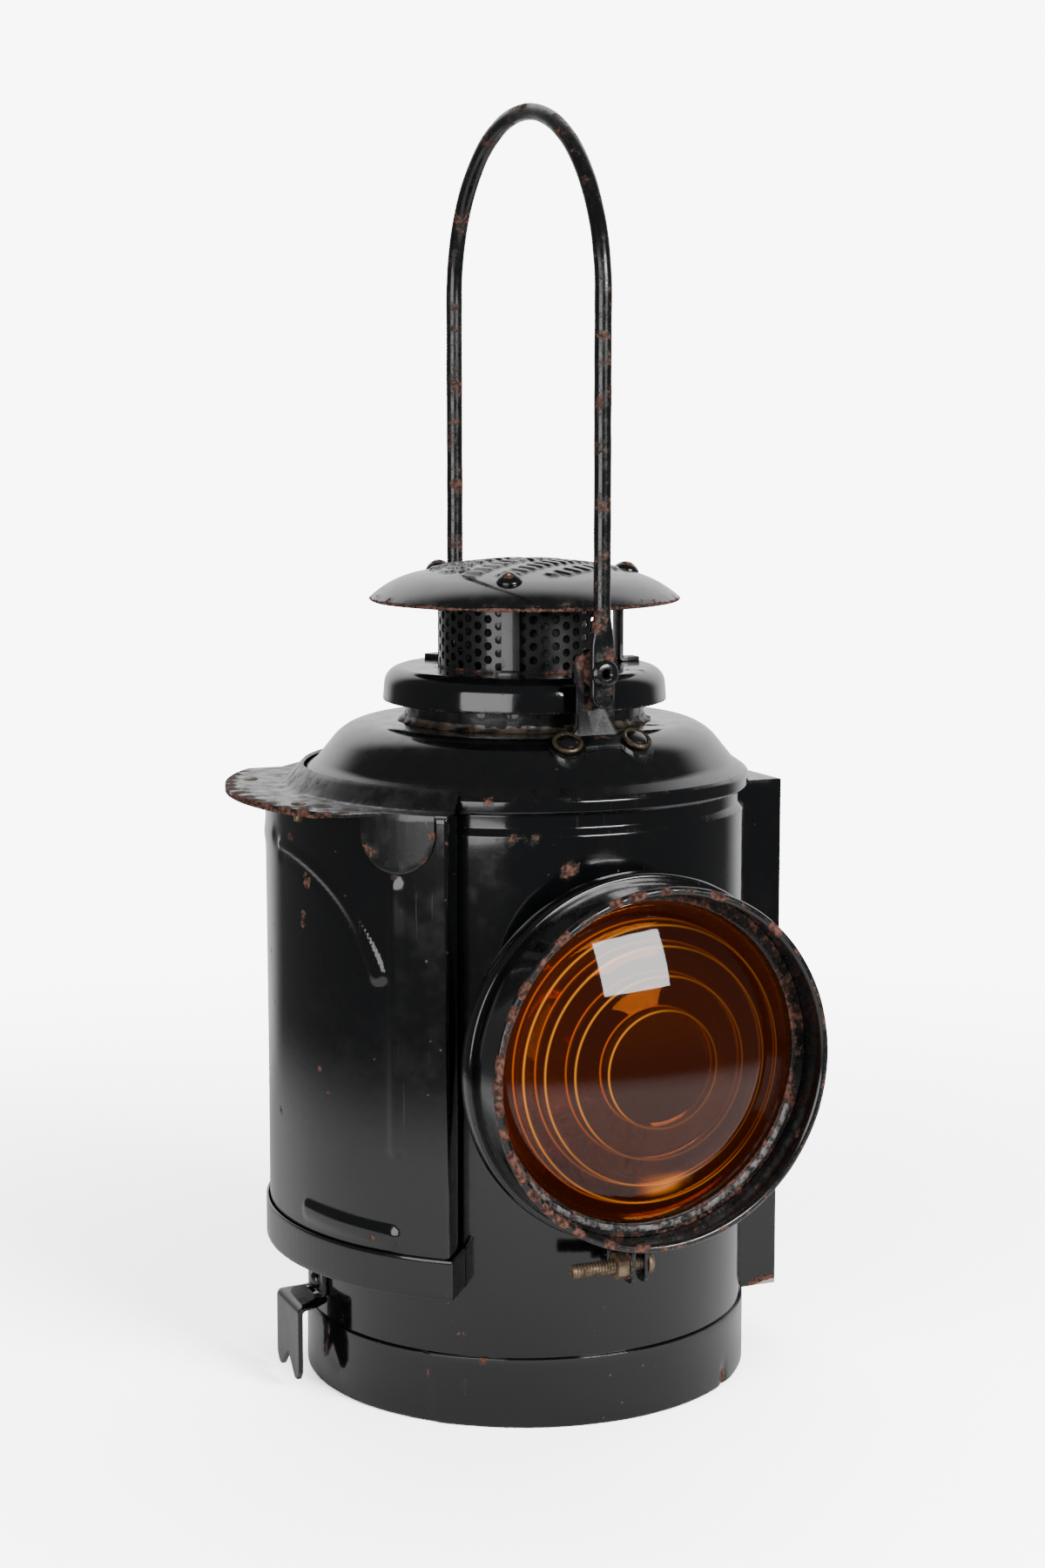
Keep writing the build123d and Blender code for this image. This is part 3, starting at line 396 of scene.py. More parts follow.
class Wiring:
    """Adds nodes to a tree and joins them."""

    def __init__(self, tree):
        self.tree = tree

    def node(self, kind, settings=(), sockets=()):
        """One node: its settings first, then the values or links of its sockets, by name or number."""
        made = self.tree.nodes.new(kind)
        for key, value in dict(settings).items():
            setattr(made, key, value)
        for key, value in dict(sockets).items():
            self.feed(made.inputs[key], value)
        return made

    def feed(self, socket, value):
        """Link a socket, or set its own value."""
        if isinstance(value, Tap):
            value = value.socket
        if isinstance(value, bpy.types.NodeSocket):
            self.tree.links.new(value, socket)
        else:
            socket.default_value = value

    def math(self, operation, *values):
        made = self.node("ShaderNodeMath", {"operation": operation}, dict(enumerate(values)))
        return Tap(self, made.outputs[0])

    def parts(self, vector):
        """A vector's three parts, as numbers."""
        return [Tap(self, out) for out in self.node("ShaderNodeSeparateXYZ", sockets={0: vector}).outputs]

    def vector(self, x=0.0, y=0.0, z=0.0):
        return self.node("ShaderNodeCombineXYZ", sockets={0: x, 1: y, 2: z}).outputs[0]

    def step(self, value, low, high):
        """A smooth step from 0 at low to 1 at high."""
        sockets = {"Value": value, "From Min": low, "From Max": high}
        made = self.node("ShaderNodeMapRange", {"interpolation_type": "SMOOTHSTEP"}, sockets)
        return Tap(self, made.outputs[0])

    def blend(self, factor, a, b):
        """A shader between two nodes' shaders."""
        return self.node("ShaderNodeMixShader", sockets={0: factor, 1: a.outputs[0], 2: b.outputs[0]})


# %% [markdown]
# ## A finish
# Each finish is a Principled shader plus the patterns that vary over it. All patterns read Object
# coordinates, and since every piece keeps its place in its mesh, those are the lamp's own coordinates: a
# stain can run from one piece on to the next, as it does on a real lamp. Pattern sizes are given in
# millimetres.

# %% The finish class
class Finish(Wiring):
    """A material under construction."""

    def __init__(self, name, **constants):
        self.material = bpy.data.materials.new(name)
        self.material.use_nodes = True
        super().__init__(self.material.node_tree)
        self.tree.nodes.clear()
        self.shader = self.node("ShaderNodeBsdfPrincipled", sockets=constants)
        self.output = self.node("ShaderNodeOutputMaterial", sockets={"Surface": self.shader.outputs[0]})
        self.place = self.node("ShaderNodeTexCoord").outputs["Object"]

    def stretched(self, scale):
        """The place, squeezed along each axis, so that a pattern on it draws out."""
        return self.node("ShaderNodeMapping", sockets={"Vector": self.place, "Scale": scale}).outputs[0]

    def noise(self, size, detail=3.0, rough=0.55, place=None):
        """Cloudy noise about 0.5, with lumps of a size in millimetres."""
        sockets = {"Vector": place or self.place, "Scale": 1 / (size * MM)}
        sockets.update({"Detail": detail, "Roughness": rough})
        return Tap(self, self.node("ShaderNodeTexNoise", sockets=sockets).outputs[0])

    def specks(self, size):
        """Distance from the nearest of many scattered points, in cells of a size."""
        sockets = {"Vector": self.place, "Scale": 1 / (size * MM)}
        return Tap(self, self.node("ShaderNodeTexVoronoi", sockets=sockets).outputs["Distance"])

    def attribute(self, name):
        return Tap(self, self.node("ShaderNodeAttribute", {"attribute_name": name}).outputs["Fac"])

    def mix(self, factor, a, b):
        """A colour between two colours."""
        a = (*a, 1) if isinstance(a, tuple) else a
        b = (*b, 1) if isinstance(b, tuple) else b
        return self.node("ShaderNodeMix", {"data_type": "RGBA"}, {0: factor, 6: a, 7: b}).outputs[2]

    def paint(self, **sockets):
        """Feed the shader's sockets, named with underscores for spaces."""
        for name, value in sockets.items():
            self.feed(self.shader.inputs[name.replace("_", " ")], value)

    def bump(self, height, depth, strength=1.0):
        """Raise the surface by a height of 0 to 1, times a depth in millimetres."""
        sockets = {"Height": height, "Distance": depth * MM, "Strength": strength}
        self.paint(Normal=self.node("ShaderNodeBump", sockets=sockets).outputs[0])


# %% [markdown]
# ## Gloss black, chipped
# The paint is stove enamel: near black with a breath of blue, very glossy, and slightly rippled by the
# brush. Where `worn` is high it has come away. A threshold on worn plus two noises gives chips with ragged
# edges, and a second, wider threshold gives the dull halo round them. Bare steel has gone to rust, dark
# where it is thick and salmon where it is dusty. Values of `worn` over one are cream filler. The same
# recipe serves every enamelled piece, with more or less gloss and dust.

# %% Enamel
BLACK = (0.0036, 0.0040, 0.0046)
GRIME = (0.022, 0.019, 0.015)
RUST_DARK = (0.030, 0.013, 0.009)
RUST_PALE = (0.205, 0.088, 0.060)
CREAM = (0.56, 0.50, 0.38)


def enamel(name, gloss=0.10, dust=0.25, tired=0.0):
    """Black stove enamel. Tired adds a general wear, and dust a film on what faces up."""
    f = Finish(name, **{"Specular IOR Level": 0.5, "Coat Roughness": 0.05, "Coat IOR": 1.5})
    worn = f.attribute("worn")
    broad = f.noise(22, 3)
    patch = f.noise(5.5, 5, 0.6)
    grit = f.noise(0.9, 4, 0.6)
    ragged = worn + tired + (patch - 0.5) * 0.85 + (grit - 0.5) * 0.55
    bare = f.step(ragged, 0.44, 0.50)
    halo = f.step(ragged, 0.26, 0.52)
    filler = f.step(worn + (grit - 0.5) * 0.5, 1.25, 1.35)
    pock = 1 - f.step(f.specks(6.5) + (grit - 0.5) * 0.08, 0.045, 0.075)
    chip = f.math("MAXIMUM", bare, pock * f.step(broad, 0.50, 0.62))
    fine = f.noise(1.6, 4)
    rust = f.mix(f.step(fine, 0.36, 0.64), RUST_DARK, RUST_PALE)
    film = f.step(broad + (patch - 0.5) * 0.6, 0.42, 0.72)
    up = f.parts(f.node("ShaderNodeNewGeometry").outputs["Normal"])[2]
    settled = f.step(up, 0.35, 0.95) * f.step(patch, 0.35, 0.70) * dust
    hair = f.step(f.noise(1.1, 2, place=f.stretched((1, 1, 0.035))), 0.70, 0.74) * 0.16
    black = f.mix(halo * 0.55 + settled * 0.7 + hair, BLACK, GRIME)
    colour = f.mix(chip, black, rust)
    f.paint(Base_Color=f.mix(filler, colour, CREAM))
    smear = film * 0.07 + halo * 0.25 + settled * 0.5 + hair
    f.paint(Roughness=f.math("MINIMUM", gloss + smear + chip * 0.6, 0.92),
            Coat_Weight=(1 - chip) * (1 - halo) * 0.5)
    f.bump(broad * 0.5 + patch * 0.12 + fine * chip * 0.9 - chip * 0.5, 0.16, 0.55)
    return f.material


gloss_black = enamel("gloss_black")
handled_black = enamel("handled_black", gloss=0.20, dust=0.3, tired=0.05)
brim_black = enamel("brim_black", gloss=0.26, dust=0.9, tired=0.08)
sooty_black = enamel("sooty_black", gloss=0.36, dust=0.4, tired=0.0)
print("enamels", [m.name for m in bpy.data.materials if m.name.endswith("black")])

# %% [markdown]
# ## Metals, felt, cotton and glass
# The clamp bolt is plated steel gone tan, with black in the thread's roots. The burner is aged brass, the
# fount is dull tinned steel, and the wick is woven cotton. Each has a broad stain and a fine tooth, because
# a single flat colour never looks like a thing that has been handled.

# %% Small finishes
def aged_metal(name, dark, light, rough, metal, size=3.0, bump=0.05):
    """A bare metal whose colour and polish wander between two values."""
    f = Finish(name)
    stain = f.noise(size, 5, 0.6)
    tooth = f.noise(0.6, 4)
    mask = f.step(stain + (tooth - 0.5) * 0.4, 0.38, 0.64)
    f.paint(Base_Color=f.mix(mask, dark, light), Roughness=rough + (1 - mask) * 0.25,
            Metallic=metal * (0.5 + mask * 0.5))
    f.bump(stain * 0.5 + tooth * 0.5, bump)
    return f.material


def dull(name, dark, light, rough=0.8, size=2.0, bump=0.15):
    """A matt finish such as felt, solder or putty."""
    f = Finish(name)
    stain = f.noise(size, 5, 0.65)
    f.paint(Base_Color=f.mix(f.step(stain, 0.35, 0.65), dark, light), Roughness=rough - stain * 0.2)
    f.bump(stain, bump)
    return f.material


def woven_cotton(name, pitch):
    """Woven cotton: warp and weft as two waves, over a soft stain."""
    f = Finish(name, **{"Sheen Weight": 0.4})
    across, _, up = f.parts(f.place)
    warp, weft = (f.math("ABSOLUTE", f.math("SINE", way * (math.pi / (pitch * MM)))) for way in (across, up))
    weave = f.math("MAXIMUM", warp, weft)
    tip = span("wick")[1].z * MM
    char = f.step(up, tip - 0.004, tip - 0.001)
    cloth = f.mix(weave, (0.40, 0.35, 0.26), (0.72, 0.68, 0.58))
    f.paint(Base_Color=f.mix(char, cloth, (0.02, 0.018, 0.016)), Roughness=0.75 + weave * 0.2)
    f.bump(weave, 0.2)
    return f.material


tan_steel = aged_metal("tan_steel", (0.085, 0.055, 0.033), (0.29, 0.22, 0.14), 0.40, 0.75, size=5)
ring_brass = aged_metal("ring_brass", (0.010, 0.008, 0.006), (0.13, 0.095, 0.055), 0.36, 0.7, size=2.4)
aged_brass = aged_metal("aged_brass", (0.20, 0.12, 0.04), (0.58, 0.41, 0.16), 0.24, 1.0)
tinned = aged_metal("tinned", (0.20, 0.19, 0.17), (0.52, 0.51, 0.48), 0.30, 0.9, size=9)
rusty_solder = dull("rusty_solder", (0.004, 0.004, 0.004), (0.085, 0.065, 0.048), 0.5, size=5.5)
putty = dull("putty", (0.012, 0.011, 0.011), (0.30, 0.29, 0.28), 0.6, size=2.2)
felt = dull("felt", (0.03, 0.027, 0.024), (0.09, 0.08, 0.07), 0.95, size=0.8)
cotton = woven_cotton("cotton", 0.9)


# %% [markdown]
# ## Amber glass
# The lens is pressed from one piece of deep amber glass: smooth in front, stepped in rings behind. Real
# refraction does most of the work, because the steps bend the light by themselves. The rings' bright edges
# come from light that enters at the rim and runs round inside the glass, which takes a renderer thousands
# of samples to find. So the steps carry a painted glow of their own, kept to the risers by how far each point
# is from a ring's circle and painted brighter towards the left and bottom edges. A fainter painted glow fills
# the whole glass, and a painted glint sits low in its middle.

# %% Glass
def ring_glow(f, circles, width):
    """A mask that is 1 on circles round the lens axis, with the place across, up and out from that axis."""
    across, _, height = f.parts(f.place)
    up = height - lens_z * MM
    radius = (across * across + up * up) ** 0.5
    total = None
    for circle in circles:
        gap = f.math("ABSOLUTE", radius - circle * MM)
        line = 1 - f.step(gap, 0, width * MM)
        total = line if total is None else f.math("MAXIMUM", total, line)
    return total, across, up, radius


def amber_glass(name, circles):
    f = Finish(name, **{"Transmission Weight": 1.0, "IOR": 1.5})
    ring, across, up, radius = ring_glow(f, circles, 0.55)
    cloud = f.noise(18, 2)
    outer = f.step(radius, 0.026, 0.050)
    to_left = (up * 0.45 - across) / (radius + 0.001)
    below = f.step(-up, 0.026, 0.042) * f.step(radius, 0.030, 0.040)
    # Painted light: the rings' glow is made brighter towards the left edge and along the bottom edge.
    painted_ring_light = 0.11 + f.step(to_left, -0.05, 1.15) * 0.80 + below * 0.30
    f.paint(Base_Color=f.mix(outer, (0.42, 0.10, 0.008), (0.46, 0.12, 0.010)), Roughness=0.02 + cloud * 0.02)
    # A painted glint: a small bright patch of glow low in the glass, just below the middle.
    patch = (1 - f.step(f.math("ABSOLUTE", across - 0.005), 0.004, 0.010)) * f.step(-up, 0.034, 0.038)
    painted_glint = patch * (1 - f.step(radius, 0.0405, 0.0435)) * f.step(cloud, 0.30, 0.75) * 0.55
    # A faint painted glow through the whole glass: dimmer towards the rim, but brighter at the rim's left
    # side.
    body = 0.024 - outer * 0.010 + f.step(to_left, 0.3, 1.1) * outer * 0.018
    painted_glow = f.mix(body, (0.0, 0.0, 0.0), (1.0, 0.17, 0.008))
    f.paint(Emission_Color=f.mix(ring * painted_ring_light + painted_glint, painted_glow, (1.0, 0.33, 0.022)))
    f.paint(Emission_Strength=1.0)
    return f.material


def clear_glass(name):
    f = Finish(name, **{"Transmission Weight": 0.95, "IOR": 1.47})
    tint = f.mix(f.noise(30, 2), (0.90, 0.93, 0.92), (0.97, 0.98, 0.98))
    f.paint(Base_Color=tint, Roughness=0.02 + f.noise(6) * 0.05)
    return f.material


ring_circles = (18.9, 29.4, 38.4, 44.7)
amber = amber_glass("amber_glass", ring_circles)
clear = clear_glass("clear_glass")
print("materials", len(bpy.data.materials))

# %% [markdown]
# ## Fitting a piece
# Each finished skin rides on the body that its solid belongs to and hides the solid that it stands in for.
# `eased` makes a skin straight from a imported solid: it merges a copy's loose triangles, dissolves the flat
# ones and rolls every sharp edge over a little. That is all that a bracket or a nut needs, so `simple` eases
# such a piece, wears it evenly and fits it in one call.

# %% Fitting helpers
slots = {part["node"]: part["material_slot"] for part in frame["record"]["subparts"]}
body_of = {node: body for body, nodes in frame["record"]["behaviour"]["bodies"].items() for node in nodes}
waiting = set(frame["nodes"])


def fit(piece, finish, *nodes, rides=None, slot=None):
    """Give a piece its finish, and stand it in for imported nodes."""
    if finish is not None:
        piece.data.materials.clear()
        piece.data.materials.append(finish)
    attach(piece, rides or body_of[nodes[0]])
    if nodes:
        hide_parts(*nodes)
        waiting.difference_update(nodes)
    print(piece.name, len(piece.data.polygons), "faces for", ", ".join(nodes) or "looks only")
    return piece


def applied(piece):
    """Turn the piece's modifiers into plain mesh."""
    result = bpy.data.meshes.new_from_object(piece.evaluated_get(bpy.context.evaluated_depsgraph_get()))
    piece.modifiers.clear()
    piece.data = result
    return piece


def finer(piece, longest):
    """Split long edges, so that small worn spots have points of their own to be written on."""
    with worked(piece.data) as work:
        for _ in range(7):
            bmesh.ops.triangulate(work, faces=work.faces)
            long_edges = [e for e in work.edges if e.calc_length() > longest * MM]
            if not long_edges:
                break
            bmesh.ops.subdivide_edges(work, edges=long_edges, cuts=1)
        bmesh.ops.triangulate(work, faces=work.faces)
    return shaded(piece)


def bevelled(piece, width, least_angle, segments=2):
    """Roll over a piece's edges that are sharper than an angle, by a width in millimetres."""
    bevel = piece.modifiers.new("ease", "BEVEL")
    bevel.width = width * MM
    bevel.segments = segments
    bevel.limit_method = "ANGLE"
    bevel.angle_limit = math.radians(least_angle)
    return shaded(applied(piece))


def eased(node, width=0.3, name=None, segments=2):
    """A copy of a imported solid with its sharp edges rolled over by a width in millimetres."""
    piece = put_in_scene(name or node + "_skin", frame["nodes"][node].data.copy())
    with worked(piece.data) as work:
        bmesh.ops.remove_doubles(work, verts=work.verts, dist=1e-6)
        bmesh.ops.dissolve_limit(work, angle_limit=math.radians(0.4), verts=work.verts, edges=work.edges)
    return bevelled(piece, width, 35, segments)


def simple(node, finish, width, worn=None, segments=2, name=None):
    """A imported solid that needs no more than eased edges, an even wear and a finish."""
    piece = eased(node, width, name, segments)
    if worn is not None:
        wear(piece, base=worn)
    return fit(piece, finish, node)


def cut(piece, *cutters):
    """Take other pieces out of a piece."""
    for cutter in cutters:
        knife = piece.modifiers.new("cut", "BOOLEAN")
        knife.operation = "DIFFERENCE"
        knife.solver = "EXACT"
        knife.object = cutter
    applied(piece)
    for cutter in cutters:
        bpy.data.objects.remove(cutter)
    return shaded(piece)


def joined(piece, *others):
    """Make several meshes one piece."""
    with worked(piece.data) as work:
        for other in others:
            work.from_mesh(other.data)
    for other in others:
        bpy.data.objects.remove(other)
    return shaded(piece)

# %% [markdown]
# ## The foot band and the case
# The band is a strip of sheet, hemmed under and lapped: its ends overlap in a slanted seam at the front.
# The case is a rolled tube, necked in at the top to take the lid. Both are turned from outlines, then
# worked: `press` moves the skin in or out by a rule in bearing and height, which is how the seam's step and
# the dents are made. The door opening and the lens hole are cut out of the case with plain cutters.

# %% Pressing a shape into a skin
def press(piece, rise):
    """Move points in or out from the lamp's axis by rise(bearing, height), arrays in and millimetres out."""
    co = points_of(piece)
    radius = np.hypot(co[:, 0], co[:, 1])
    bearing = (np.degrees(np.arctan2(co[:, 1], co[:, 0])) + 90 + 180) % 360 - 180
    scale = 1 + rise(bearing, co[:, 2] / MM) * MM / np.maximum(radius, 1e-6)
    co[:, :2] *= scale[:, None]
    return moved_to(piece, co)


def bumped(distance, width):
    """A smooth hump, 1 at no distance and 0 past about twice a width."""
    return np.exp(-((distance / width) ** 2))


# %% Foot band
def band_rise(bearing, height):
    """The lap's step, fading away to one side of a slanted seam, and two small knocks."""
    seam = -49.1 + (band_high.z - height) * 0.1
    past = bearing - seam
    lap = np.where((past > 0) & (past < 12), 0.42 * (1 - past / 12), 0)
    knock = 0.9 * bumped(bearing - 38.4, 1.4) * bumped(height - 2, 4)
    waves = 0.10 * np.sin(np.radians(bearing) * 5 + 1.0) * bumped(height - band_high.z, 14)
    return lap - knock + waves


floor_gap = 0.1
band_sheet = 0.95
line = rounded([(71, floor_gap), (band_r - 0.05, floor_gap, 1.2), (band_r - 0.05, band_high.z)])
band = lathe("foot_band", dense(sheet_outline(line, band_sheet), 3), turns=360)
press(band, band_rise)
settle(band, 0.06, 18, 3)
wear(band, rings=[(band_r, 0, 1.8, 0.42), (band_r, band_high.z, 0.9, 0.30)],
     spots=marks(band_r, (-34.6, 22.5, 1.3, 1.5), (38.4, 3, 3.5, 0.62), (-48, 14, 1.2, 0.5),
                 (36.8, 5, 1.3, 1.6))
     + scratch((-49.6, band_high.z), (-47.7, 0.6), band_r, 0.6, 0.60)
     + scratch((-39.7, band_high.z), (-39.2, 8), band_r, 1.0, 0.44)
     + scratch((-84.6, 22), (-87.4, 12), band_r, 1.8, 0.52, count=8))
fit(band, gloss_black, "base_band")

# %% Case
def case_rise(bearing, height):
    """A soldered drip line down the front, and the faint flats that rolling leaves."""
    drip = 0.30 * bumped(bearing - (-40.6 - (height - 33) * 0.11), 0.9) * bumped(height - 32, 10)
    flats = 0.05 * np.sin(np.radians(bearing) * 7) * bumped(height - 120, 80)
    return drip + flats


wall = 0.9
neck_z = case_high.z - 8.4
case_neck_r = 73.6
line = rounded([(case_r, 1.1), (case_r, neck_z - 1.2, 1.5), (case_neck_r, neck_z + 1.2, 1.5),
                (case_neck_r, case_high.z)])
case = lathe("case", dense(sheet_outline(line, wall), 5), turns=288)
press(case, case_rise)
settle(case, 0.07, 32, 8)
window_low, window_high, window_half = 66, 188, 43
window_line = [complex(60, window_low), complex(90, window_low), complex(90, window_high),
               complex(60, window_high)]
window = lathe("window", window_line, turns=48, start=-window_half, arc=2 * window_half)
bore_r = 46.5
bore = face_forward(lathe("bore", [40j, bore_r + 40j, bore_r + 95j, 95j], turns=96))
cut(case, swing(window, door_bearing), bore)
wear(case, rings=[(case_r, band_high.z + 0.6, 1.2, 0.30), (case_r, neck_z, 2.2, 0.30)],
     spots=marks(case_r, (-13.9, 183.5, 3.0, 1.0), (-12.0, 185.6, 1.8, 0.8), (-27.1, 195.0, 4.0, 0.56),
                 (-31, 193.0, 3.5, 0.54), (-22, 196, 3, 0.48), (-3.2, 183.7, 0.8, 1.5),
                 (-34.0, 27.5, 0.9, 1.5), (-88, 34, 6, 0.42), (-80, 27, 5, 0.40))
     + marks(case_r + 0.4, (-40.5, 30, 4, 0.42))
     + scratch((-43.9, 43), (-39.7, band_high.z), case_r, 1.3, 0.50))
fit(case, gloss_black, "body_shell")

# %% [markdown]
# ## Lid, neck, draught ring and cap
# The lid is one deep pressing: a flat crown, a round shoulder, a flare and a rolled bead that sits over the
# case's neck. Above it come the neck, soldered on with a lumpy fillet, and the draught ring, which is an
# upturned cup. The cap is two arcs that meet smoothly, so its outline is worked out from where each arc's
# centre lies. Its crown carries a pressed relief, made by a rule that lifts the skin where a bar stands.

# %% Lid
lid_sheet = 1.0
bead_low = dome_low.z
line = rounded([(39, dome_high.z), (60.4, dome_high.z, 25.7), (71.0, 211.0, 8), (75.2, 208.1, 1.2),
                (bead_r - 0.05, 206.9, 1.6), (bead_r - 0.05, bead_low + 1.0, 1.6),
                (75.2, bead_low + 0.05)], steps=12)
lid = lathe("lid", dense(sheet_outline(line, -lid_sheet), 3), turns=288)
settle(lid, 0.10, 26, 2)
wear(lid, rings=[(bead_r, bead_low + 0.5, 1.0, 0.38), (75.6, 207.6, 0.9, 0.36), (41, dome_high.z, 3.0, 0.44)],
     spots=marks(bead_r, *((b, 204.9, 1.3, 0.62) for b in (-28.0, -24.0, -20.5)))
     + marks(75.5, (-33, 207, 3.0, 0.5)) + marks(72.5, (-13, 209.5, 2.2, 0.48)) + marks(75, (12, 208, 2, 0.5))
     + marks(47, (-36, dome_high.z, 7, 0.46)) + marks(46, (42, dome_high.z, 7, 0.48)))
fit(lid, gloss_black, "dome_top")

# %% Neck and its solder
simple("neck_collar", sooty_black, 0.15, worn=0.22, name="neck")
neck_low, neck_high = span("neck_collar")
neck_r = neck_high.x
solder_leg = 2.4
hollow = 2.3
fillet = [complex(neck_r - 0.6, dome_high.z - 0.4)]
fillet += [complex(neck_r + solder_leg - hollow * math.sin(a), dome_high.z + hollow - 2.2 * math.cos(a))
           for a in fan(0, math.pi / 2, 6)]
fillet += [complex(neck_r - 0.6, dome_high.z + solder_leg)]
solder = lathe("neck_solder", dense(fillet, 0.8), turns=300)
settle(solder, 0.6, 3.6, 5)
fit(solder, rusty_solder, rides="lamp", slot=slots["neck_collar"])

# %% Draught ring
ring_throat_r = 26.1
line = rounded([(ring_throat_r, ring_high.z), (ring_high.x - 0.9, ring_high.z, 6), (ring_high.x, ring_low.z)],
               steps=12)
ring_sheet = 1.0
ring = lathe("draught_ring_skin", dense(sheet_outline(line, -ring_sheet), 2.5), turns=240)
settle(ring, 0.07, 20, 4)
wear(ring, rings=[(ring_high.x, ring_low.z, 1.0, 0.42), (screen_high.x + 1.0, ring_high.z, 1.8, 0.44)],
     spots=marks(40, (40, ring_high.z, 6, 0.44)) + marks(38, (-60, ring_high.z, 5, 0.40)))
fit(ring, gloss_black, "draught_ring")

# %% A relief for the cap's crown
def lift(piece, rise):
    """Move every point up by rise(x, y), arrays in and millimetres out."""
    co = points_of(piece)
    co[:, 2] += rise(co[:, 0] / MM, co[:, 1] / MM) * MM
    return moved_to(piece, co)


row_pitch = 12.5
bar_pitch = 5.2
bar_rise = 0.80


def crown_relief(x, y):
    """Rows of short raised bars across the crown, like pressed lettering that says nothing."""
    turn = math.radians(32)
    u, v = x * math.cos(turn) + y * math.sin(turn), y * math.cos(turn) - x * math.sin(turn)
    row = np.round(v / row_pitch)
    inside = (np.abs(row) < 2.5) & (np.hypot(x, y) < 32)
    across = np.clip((4.2 - np.abs(v - row * row_pitch)) / 1.2, 0, 1)
    bars = np.clip(0.5 + 1.9 * np.sin(u * 2 * math.pi / (bar_pitch + 0.6 * np.sin(row * 2.1)) + row), 0, 1)
    return bar_rise * inside * across * bars


# %% Cap
crown_r, crown_drop, turn_r = 37.0, 4.1, 33.7
ball_r = (crown_r**2 + crown_drop**2) / (2 * crown_drop)


def cap_height(radius):
    """The crown's height at a radius."""
    return cap_high.z - ball_r + math.sqrt(ball_r**2 - radius**2)


tilt = math.asin(crown_r / ball_r)
turn_centre = complex(crown_r - turn_r * math.sin(tilt), cap_high.z - crown_drop - turn_r * math.cos(tilt))
rim_tilt = math.asin((cap_high.x - turn_centre.real) / turn_r)
crown = [complex(ball_r * math.sin(a), cap_high.z - ball_r + ball_r * math.cos(a))
         for a in fan(0, tilt, 16)[:-1]]
turned_down = [turn_centre + turn_r * complex(math.sin(a), math.cos(a)) for a in fan(tilt, rim_tilt, 14)]
cap_sheet = 1.0
cap = lathe("rain_cap", dense(sheet_outline(crown + turned_down, -cap_sheet), 1.1), turns=360)
lift(cap, crown_relief)
settle(cap, 0.10, 16, 6)
rim_z = turned_down[-1].imag
strap_bearings = [-32.0, 88.0, 208.0]
wear(cap, rings=[(cap_high.x, rim_z, 1.5, 0.62), (cap_high.x - 1.5, rim_z + 1.2, 2.2, 0.36)],
     spots=[(on_case(b, 38, cap_high.z - 4.3), 5, 0.40) for b in strap_bearings])
fit(cap, gloss_black, "chimney_cap")
print("cap rim height", round(rim_z, 2), "cap box", round(cap_low.z, 2))

# %% [markdown]
# ## The perforated chimney
# The screen is a strip of perforated sheet rolled into a tube, its holes in staggered columns. Modelling
# one hole and repeating it is the whole job, so Geometry Nodes do it: a grid of points gets one perforated
# cell at each, odd columns are shifted up by half a pitch, and then the flat strip is rolled round by
# turning its width into an angle. The shifted columns would leave ragged ends, so a plain half cell fills
# each gap. Realize Instances and Set Material end the tree, and the result becomes a plain mesh before it
# is given its thickness.

# %% A Geometry Nodes tree from Python
class Recipe(Wiring):
    """A Geometry Nodes tree with named inputs, run once on a piece."""

    def __init__(self, name, **inputs):
        group = bpy.data.node_groups.new(name, "GeometryNodeTree")
        super().__init__(group)
        group.interface.new_socket("Geometry", in_out="OUTPUT", socket_type="NodeSocketGeometry")
        group.interface.new_socket("Geometry", in_out="INPUT", socket_type="NodeSocketGeometry")
        self.values = inputs
        self.ids = {}
        kinds = {float: "NodeSocketFloat", int: "NodeSocketInt", bpy.types.Object: "NodeSocketObject",
                 bpy.types.Material: "NodeSocketMaterial"}
        for key, value in inputs.items():
            made = group.interface.new_socket(key, in_out="INPUT", socket_type=kinds[type(value)])
            self.ids[key] = made.identifier
        self.inside = self.node("NodeGroupInput")

    def given(self, name):
        """A named input, as a number for expressions."""
        return Tap(self, self.inside.outputs[name])

    def finish(self, geometry):
        """End with real geometry and the material."""
        real = self.node("GeometryNodeRealizeInstances", sockets={0: geometry})
        dressed = self.node("GeometryNodeSetMaterial", sockets={0: real.outputs[0],
                                                                "Material": self.given("Material")})
        self.node("NodeGroupOutput", sockets={0: dressed.outputs[0]})

    def run(self, name, mesh=None):
        """Run the tree on a mesh, and return the result as a plain piece."""
        piece = put_in_scene(name, mesh or bpy.data.meshes.new(name))
        modifier = piece.modifiers.new("recipe", "NODES")
        modifier.node_group = self.tree
        for key, value in self.values.items():
            modifier[self.ids[key]] = value
        return applied(piece)


def hidden(piece):
    """Keep a pattern piece out of sight until it can be removed."""
    piece.hide_render = True
    return piece


# %% One cell of the screen
def perforated_cell(width, height, hole_r):
    """A flat cell about the origin with a round hole, in millimetres."""
    corners = [complex(x * width, y * height) for x, y in ((1, -1), (1, 1), (-1, 1), (-1, -1))]
    border = []
    for i in range(4):
        here, there = corners[i - 1] / 2, corners[i] / 2
        border += [here + (there - here) * k / 4 for k in range(4)]
    hole = [p / abs(p) * hole_r for p in border]
    points = [(p.real, p.imag, 0) for p in border + hole]
    count = len(border)
    faces = [(i, (i + 1) % count, count + (i + 1) % count, count + i) for i in range(count)]
    return piece_from("cell", points, faces)


def plain_half(width, height):
    """The plain half cell that fills a gap at the top or bottom of a shifted column."""
    xs = [-width / 2 + width * k / 4 for k in range(5)]
    points = [(x, y, 0) for y in (-height / 4, 0, height / 4) for x in xs]
    faces = [(r * 5 + c, r * 5 + c + 1, r * 5 + c + 6, r * 5 + c + 5) for r in range(2) for c in range(4)]
    return piece_from("half_cell", points, faces)


